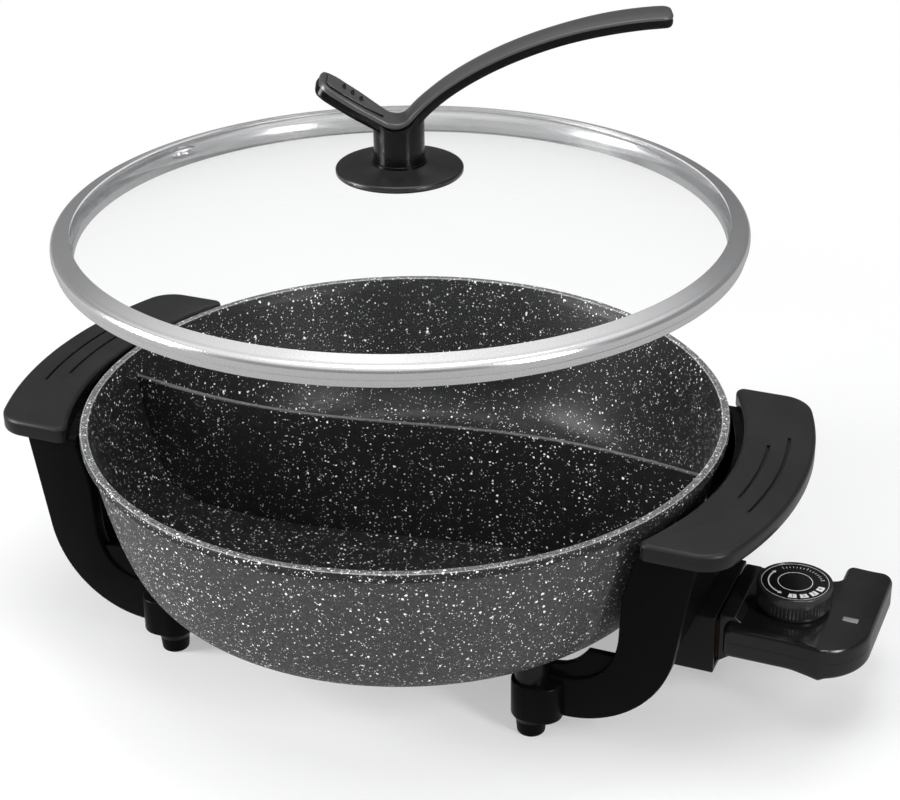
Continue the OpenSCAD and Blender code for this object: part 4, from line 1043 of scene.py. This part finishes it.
# ---- Lid glass ----
# A shallow dome of clear tempered glass, 4 mm thick, with a hole for the handle's screw.
# It is held by the steel band rolled round its edge.
LID_R = 169.5 * MM
BAND_T = MM
GLASS_T = 4 * MM
SEAT_GAP = 0.3 * MM
LIFT = 93 * MM
BAND_Z0 = RIM_Z + SEAT_GAP + LIFT
BAND_Z1 = BAND_Z0 + 10 * MM
GLASS_R = LID_R - 3 * MM
GLASS_HOLE = 4 * MM
GLASS_EDGE_Z = BAND_Z1 - 1.2 * BAND_T
GLASS_RISE = 25 * MM
CROWN_Z = GLASS_EDGE_Z + GLASS_RISE
DOME_R = (GLASS_R ** 2 + GLASS_RISE ** 2) / (2 * GLASS_RISE)
SKIN_GAP = 0.05 * MM


def dome_z(x, offset=0.0):
    return CROWN_Z - DOME_R + sqrt((DOME_R + offset) ** 2 - x * x)


def dome_line(x0, x1, offset=0.0, n=32):
    return [(x0 + (x1 - x0) * i / n, dome_z(x0 + (x1 - x0) * i / n, offset)) for i in range(n + 1)]


def clear_glass():
    """Clear glass that lets lamplight through to the bowl in place of a dark shadow."""
    material, nodes = new_material("clear_glass")
    haze = ranged(nodes, (noise(nodes, Scale=30), "Fac"), 0.45, 0.8, 0, 0.003)
    glass = add_node(nodes, "BsdfPrincipled", {
        "Base Color": (0.985, 0.99, 0.99, 1), "Transmission Weight": 1, "IOR": 1.1,
        "Specular IOR Level": 0.12, "Roughness": haze})
    open_air = add_node(nodes, "BsdfTransparent", {"Color": (0.95, 0.955, 0.955, 1)})
    ray = add_node(nodes, "LightPath")
    chosen = mixed(nodes, (ray, "Is Shadow Ray"), (glass, "BSDF"), (open_air, "BSDF"))
    add_node(nodes, "OutputMaterial", {"Surface": chosen})
    return material


lid_clear = clear_glass()
glass_profile = dome_line(GLASS_HOLE, GLASS_R) + dome_line(GLASS_R, GLASS_HOLE, -GLASS_T)
glass_profile.append((GLASS_HOLE, dome_z(GLASS_HOLE)))
glass = gather("lid_glass_dome", [lathe(glass_profile, 256)], [lid_clear], 40)
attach(glass, "lid")
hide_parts("lid_glass")


# ---- Lid band ----
# A polished stainless strip rolled round the glass: a lip on top, a rounded shoulder, a bead below it
# and a skirt that drops inside the bowl's rim.
SKIRT_R = IN_R - 0.9 * MM
SKIRT_Z = BAND_Z0 - 3 * MM
WALL_R = LID_R - 1.2 * MM
SHOULDER = 3.5 * MM
BEAD = 1.5 * MM
HEM = 0.8 * MM
LIP_IN_R = GLASS_R - 6.5 * MM
UNDER_IN_R = GLASS_R - 4 * MM
UNDER_OUT_R = GLASS_R + 0.1 * MM
# Only 85 per cent metallic: a share of lamp-lit diffuse grey stands in for the bright room that the steel
# mirrors, a painted reflection.
polished_steel = solid_finish("polished_steel", (0.80, 0.80, 0.81), 0.19, grain=300, depth=0.00001,
                              clouds=0.06, dust=0.0, metallic=0.85)
band_profile = dome_line(LIP_IN_R, GLASS_R - 0.5 * MM, SKIN_GAP + BAND_T, 6)
band_profile += arc(LID_R - SHOULDER, BAND_Z1 - SHOULDER, SHOULDER, 75, 0, 12)
band_profile += arc(LID_R - BEAD, BAND_Z0 + 5 * MM, BEAD, 0, -60, 6)
band_profile += [(WALL_R, BAND_Z0 + 3.2 * MM), (WALL_R, BAND_Z0 + 1.5 * MM)]
band_profile += arc(WALL_R - HEM, BAND_Z0 + HEM, HEM, 0, -90, 4)
band_profile += [(SKIRT_R, BAND_Z0), (SKIRT_R, SKIRT_Z), (SKIRT_R - BAND_T, SKIRT_Z),
                 (SKIRT_R - BAND_T, BAND_Z0 + BAND_T), (WALL_R - BAND_T, BAND_Z0 + BAND_T),
                 (WALL_R - BAND_T, BAND_Z0 + 2.6 * MM)]
band_profile += dome_line(GLASS_R, UNDER_IN_R, -GLASS_T - SKIN_GAP - BAND_T, 4)
band_profile += dome_line(UNDER_IN_R, UNDER_OUT_R, -GLASS_T - SKIN_GAP, 4)
band_profile += dome_line(UNDER_OUT_R, LIP_IN_R, SKIN_GAP, 6)
band_profile.append(band_profile[0])
band = gather("lid_band_rolled", [lathe(band_profile, 256)], [polished_steel], 35)
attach(band, "lid")
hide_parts("lid_band")


# ---- Steam vent ----
# A small turned eyelet riveted through the glass near its edge.
# Its rolled collar sits on the glass.
VENT_X = 143 * MM
VENT_ANGLE = 167
VENT_PROFILE = ((3, -5), (3, 0.7), (3.4, 1), (4.2, 1), (6.2, 0.35), (6.5, 0.02), (3.8, 0.02),
                (3.8, -4.02), (6, -4.02), (6, -4.6), (5.5, -5), (3, -5))
vent = lathe([(r * MM, z * MM) for r, z in VENT_PROFILE], 48)
lean = asin(VENT_X / DOME_R)
stand = (Matrix.Rotation(radians(VENT_ANGLE), 4, "Z") @ Matrix.Translation((0, 0, CROWN_Z - DOME_R))
         @ Matrix.Rotation(lean, 4, "Y") @ Matrix.Translation((0, 0, DOME_R)))
bmesh.ops.transform(vent, matrix=stand, verts=vent.verts)
vent_piece = gather("steam_vent_eyelet", [vent], [polished_steel], 40)
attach(vent_piece, "lid")
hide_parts("steam_vent")


# ---- Lid disc ----
# The thick black disc clamped to the glass under the handle's stem.
# Its face slopes up gently to the stem and its edge is rounded.
DISC_R = 31 * MM
DISC_TOP = CROWN_Z + 4.2 * MM
DISC_BORE = 2.6 * MM
DISC_ROUND = 1.3 * MM
STEM_R = 12.3 * MM
handle_satin = solid_finish("handle_satin", (0.012, 0.012, 0.0125), 0.33, grain=1500, depth=0.00003,
                            dust=0.06)
disc_profile = dome_line(DISC_BORE, DISC_R - 0.6 * MM, SKIN_GAP, 10)
disc_profile += [(DISC_R - 0.1 * MM, dome_z(DISC_R) + 0.6 * MM), (DISC_R, dome_z(DISC_R) + 1.2 * MM)]
disc_profile += arc(DISC_R - DISC_ROUND, CROWN_Z + 1.1 * MM, DISC_ROUND, 0, 80, 8)
disc_profile += [(DISC_R - 8 * MM, CROWN_Z + 3 * MM), (STEM_R + 2.2 * MM, DISC_TOP - 0.45 * MM),
                 (STEM_R + 1.6 * MM, DISC_TOP - 0.1 * MM), (STEM_R + 1.2 * MM, DISC_TOP),
                 (DISC_BORE, DISC_TOP), disc_profile[0]]
disc = gather("lid_disc_turned", [lathe(disc_profile, 128)], [handle_satin], 40)
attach(disc, "lid")
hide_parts("lid_disc")


# ---- Lid handle ----
# A two-shell handle like a tick: a short thumb arm and a long rising arm that stands the lid on its side.
# This is the glossy body, which carries the stem.
ARM_Z = CROWN_Z + 26 * MM
SHORT_ARM = 36 * MM
LONG_ARM = 129 * MM
LONG_RISE = 51 * MM
ARM_T = 7 * MM
COVER_T = 2.6 * MM
HANDLE_TURN = 24
STEM_COLLAR_R = STEM_R + 0.9 * MM
STEM_TOP = ARM_Z + 14 * MM
SHORT_END_R = 8 * MM
LONG_END_R = 5.5 * MM
# half the handle's width in millimetres by the distance along it: thumb arm, narrow waist, wider tip
WIDTHS = ((-SHORT_ARM, 12.5), (-22 * MM, 12.5), (-4 * MM, 9.2), (6 * MM, 8.6), (20 * MM, 8.6),
          (70 * MM, 9.0), (105 * MM, 10.2), (LONG_ARM, 10.3))


def blend_width(s):
    """Half the handle's width at a distance along it, eased from one width to the next."""
    for (s0, w0), (s1, w1) in zip(WIDTHS, WIDTHS[1:]):
        if s0 <= s <= s1:
            t = (s - s0) / (s1 - s0)
            t = t * t * (3 - 2 * t)
            return (w0 + (w1 - w0) * t) * MM
    return WIDTHS[-1][1] * MM


def between(start, end, shares):
    return [(start[0] + (end[0] - start[0]) * t, start[1] + (end[1] - start[1]) * t) for t in shares]


crook = curve_points((-5.5 * MM, ARM_Z + 1.2 * MM), (-2.5 * MM, ARM_Z - 0.6 * MM),
                     (1.5 * MM, ARM_Z - 0.4 * MM), (4 * MM, ARM_Z + 2.2 * MM), 10)
rise = curve_points((4 * MM, ARM_Z + 2.2 * MM), (LONG_ARM * 0.171, ARM_Z + LONG_RISE * 0.51),
                    (LONG_ARM * 0.58, ARM_Z + LONG_RISE * 0.98), (LONG_ARM, ARM_Z + LONG_RISE), 44)
SHORT_TOP = (-SHORT_ARM, ARM_Z + 0.68 * (SHORT_ARM - 4 * MM))
arm_line = between(SHORT_TOP, crook[0], (0, 0.01, 0.025, 0.045, 0.07, 0.1, 0.14, 0.18, 0.25, 0.35, 0.45,
                                         0.55, 0.65, 0.75, 0.85, 0.93))
arm_line += crook + rise[1:-1]
arm_line += between(rise[-2], rise[-1], (0.3, 0.55, 0.75, 0.9, 1))


def square_to(line, i):
    """The direction square to a line at one of its points, downwards."""
    a = line[max(i - 1, 0)]
    b = line[min(i + 1, len(line) - 1)]
    length = dist(a, b)
    return (b[1] - a[1]) / length, -(b[0] - a[0]) / length


def lowered(line, depth):
    """The same line moved square to itself."""
    moved = []
    for i, (s, z) in enumerate(line):
        nx, nz = square_to(line, i)
        moved.append((s + nx * depth, z + nz * depth))
    return moved


def end_round(distance, radius):
    """How much an edge draws in near a rounded end."""
    if distance >= radius:
        return 0
    return radius - sqrt(max(radius ** 2 - (radius - distance) ** 2, 0))


def arm_shell(top_depth, low_depth, side_in, edge, low_edge, top_round, low_round, crown=0.0):
    """One shell of the handle as a loft of rounded sections along the arm's line."""
    run = [0]
    for a, b in zip(arm_line, arm_line[1:]):
        run.append(run[-1] + dist(a, b))
    rings = []
    for i, (s, z) in enumerate(arm_line):
        from_end = min(run[i], run[-1] - run[i])
        corner = SHORT_END_R if run[i] < run[-1] / 2 else LONG_END_R
        half = blend_width(s) - side_in - end_round(from_end, corner)
        top = top_depth + end_round(from_end, top_round)
        low = max(low_depth - end_round(from_end, low_round), top + 0.3 * MM)
        arch = min(crown * min(max((s + 2 * MM) / (16 * MM), 0), 1), (low - top) / 2)
        mid_top, mid_low = (min(width, (low - top - arch) / 2) for width in (edge, low_edge))
        section = [(share * (half - mid_top), top + arch * share ** 2) for share in (0.2, 0.4, 0.6, 0.8)]
        for k in range(5):
            a = radians(90 * k / 4)
            section.append((half - mid_top * (1 - sin(a)), top + arch + mid_top * (1 - cos(a))))
        for k in range(4):
            a = radians(90 * k / 3)
            section.append((half - mid_low * (1 - cos(a)), low - mid_low * (1 - sin(a))))
        section += [(-y, d) for y, d in reversed(section)]
        nx, nz = square_to(arm_line, i)
        rings.append([(s + nx * d, y, z + nz * d) for y, d in section])
    return tilt(loft(rings), HANDLE_TURN, "Z")


handle_gloss = solid_finish("handle_gloss", (0.0035, 0.0035, 0.0037), 0.22, grain=1500, depth=0.00002,
                            dust=0.02, specular=0.2)
stem_foot = DISC_TOP + 0.02 * MM
stem_profile = [(0, stem_foot), (STEM_COLLAR_R, stem_foot), (STEM_COLLAR_R, DISC_TOP + 1.1 * MM),
                (STEM_COLLAR_R - 0.3 * MM, DISC_TOP + 1.4 * MM), (STEM_R, DISC_TOP + 1.45 * MM),
                (STEM_R, STEM_TOP), (0, STEM_TOP)]
above = lowered(arm_line, COVER_T + 0.5 * MM)
above += [(LONG_ARM + 5 * MM, ARM_Z + 90 * MM), (-SHORT_ARM - 5 * MM, ARM_Z + 90 * MM)]
stem = carve(lathe(stem_profile, 96), prism(above, "Y", -30 * MM, 30 * MM))
arm_body = arm_shell(COVER_T + 0.02 * MM, ARM_T, 0.7 * MM, 0.1 * MM, 1.6 * MM, 1.8 * MM, 2.4 * MM)
handle = gather("lid_handle_body", [arm_body, tilt(stem, HANDLE_TURN, "Z")], [handle_gloss], 35)
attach(handle, "lid")
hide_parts("lid_handle")


# ---- Handle cover ----
# The satin top shell is pressed on and laps the body's edges. It is slightly crowned along the long arm.
# The thumb arm's top is flat, so its raised leaf and three ribs are drawn on that plane. The leaf's steep
# sides and the ribs are painted with the dark body plastic, as painted shade.
COVER_CROWN = 1.1 * MM
LEAF_T = 1.1 * MM
RIB_HALVES = Vector((1.2 * MM, 3.2 * MM, 1.3 * MM))
arm_satin = solid_finish("arm_satin", (0.062, 0.062, 0.063), 0.3, grain=1500, depth=0.00003, dust=0.06,
                         specular=0.6)
inward = Vector((crook[0][0] - SHORT_TOP[0], 0, crook[0][1] - SHORT_TOP[1])).normalized()
outward = Vector((-inward.z, 0, inward.x))
plane = (Matrix.Translation((SHORT_TOP[0], 0, SHORT_TOP[1])) @ Matrix((
    (inward.x, 0, outward.x, 0), (0, 1, 0, 0), (inward.z, 0, outward.z, 0), (0, 0, 0, 1))))


def on_thumb_arm(solid):
    bmesh.ops.transform(solid, matrix=plane, verts=solid.verts)
    return tilt(solid, HANDLE_TURN, "Z")


leaf_line = curve_points((3, 6), (8, 12), (19, 8), (35, -5), 20)
leaf_line += curve_points((35, -5), (26, -9), (12, -10.5), (5, -9.5), 16)[1:] + [(3, -7)]
leaf = soften(prism([(x * MM, y * MM) for x, y in leaf_line], "Z", -0.3 * MM, LEAF_T), 0.6 * MM, 3, 50)
# The leaf's steep sides take the dark body plastic: a painted shade outline.
for face in leaf.faces:
    face.material_index = 0 if face.normal.z > 0.7 else 1
ribs = []
for k in range(3):
    rib = bmesh.new()
    bmesh.ops.create_uvsphere(rib, u_segments=20, v_segments=12, radius=1)
    for vert in rib.verts:
        x, y, z = vert.co
        taper = 1 - 0.35 * (y + 1) / 2
        vert.co = Vector((x * RIB_HALVES.x * taper, y * RIB_HALVES.y, z * RIB_HALVES.z))
    # The ribs take the dark body plastic as painted shade.
    for face in rib.faces:
        face.material_index = 1
    ribs.append(on_thumb_arm(shift(rib, (12 + 4.8 * k) * MM, (0.5 - 1.2 * k) * MM, LEAF_T)))
strip = arm_shell(0, COVER_T, 0, 1.1 * MM, 0.25 * MM, 1.6 * MM, 0.8 * MM, COVER_CROWN)
cover = gather("handle_cover_shell", [strip, on_thumb_arm(leaf)] + ribs, [arm_satin, handle_gloss], 35)
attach(cover, "lid")
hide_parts("handle_cover")


# ---- Inside and underneath ----
# The heater, its shield, the switch parts, the screws and the seals keep their own solids.
# Each solid, also one that a piece stands in for, has the finish of what it is made of.
sheath = solid_finish("heater_sheath", (0.30, 0.29, 0.28), 0.42, dust=0.0, metallic=1.0)
sheet = solid_finish("shield_sheet", (0.34, 0.34, 0.33), 0.5, grain=200, depth=0.00003, dust=0.4,
                     metallic=1.0)
ceramic = solid_finish("ceramic_plate", (0.72, 0.70, 0.65), 0.5, grain=1500, depth=0.00006, dust=0.0)
amber = solid_finish("amber_lamp", (0.65, 0.22, 0.04), 0.2, grain=500, depth=0.00001, dust=0.0)
silicone = solid_finish("seal_silicone", (0.55, 0.55, 0.54), 0.6, grain=1200, depth=0.00005, dust=0.1)
phenolic = solid_finish("phenolic_brown", (0.045, 0.022, 0.012), 0.45, grain=600, depth=0.00008, dust=0.0)
brass = solid_finish("contact_brass", (0.62, 0.42, 0.18), 0.3, grain=600, depth=0.00002, dust=0.0,
                     metallic=1.0)
FINISHES = (
    (sheath, "heating_element"), (sheet, "heat_shield"), (ceramic, "terminal_plate"),
    (phenolic, "plug_insert switch_block"), (brass, "contact_sleeves switch_leaves"),
    (amber, "pilot_lamp"), (silicone, "handle_seal"),
    (bright_steel, "sensor_well shield_screws grip_screws frame_screws socket_screws cover_screws "
                   "dial_shaft handle_screw handle_washer live_pins sensing_rod"),
    (grey_stone, "pot_bowl"), (black_stone, "divider"), (cast_grey, "mounting_posts"),
    (frame_black, "leg_frame_left leg_frame_right"), (grip_matte, "grip_left grip_right"),
    (foot_rubber, "foot_front_left foot_rear_left foot_front_right foot_rear_right cord_bush"),
    (guard_black, "socket_housing"), (shell_black, "thermostat_base thermostat_cover"),
    (lens_smoke, "lamp_lens"), (dial_black, "dial_knob"), (face_black, "dial_face"),
    (lid_clear, "lid_glass"), (polished_steel, "lid_band steam_vent"), (handle_satin, "lid_disc"),
    (handle_gloss, "lid_handle"), (arm_satin, "handle_cover"),
)
for material, node_names in FINISHES:
    for node_name in node_names.split():
        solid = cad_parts[node_name]
        solid.data.materials.clear()
        solid.data.materials.append(material)
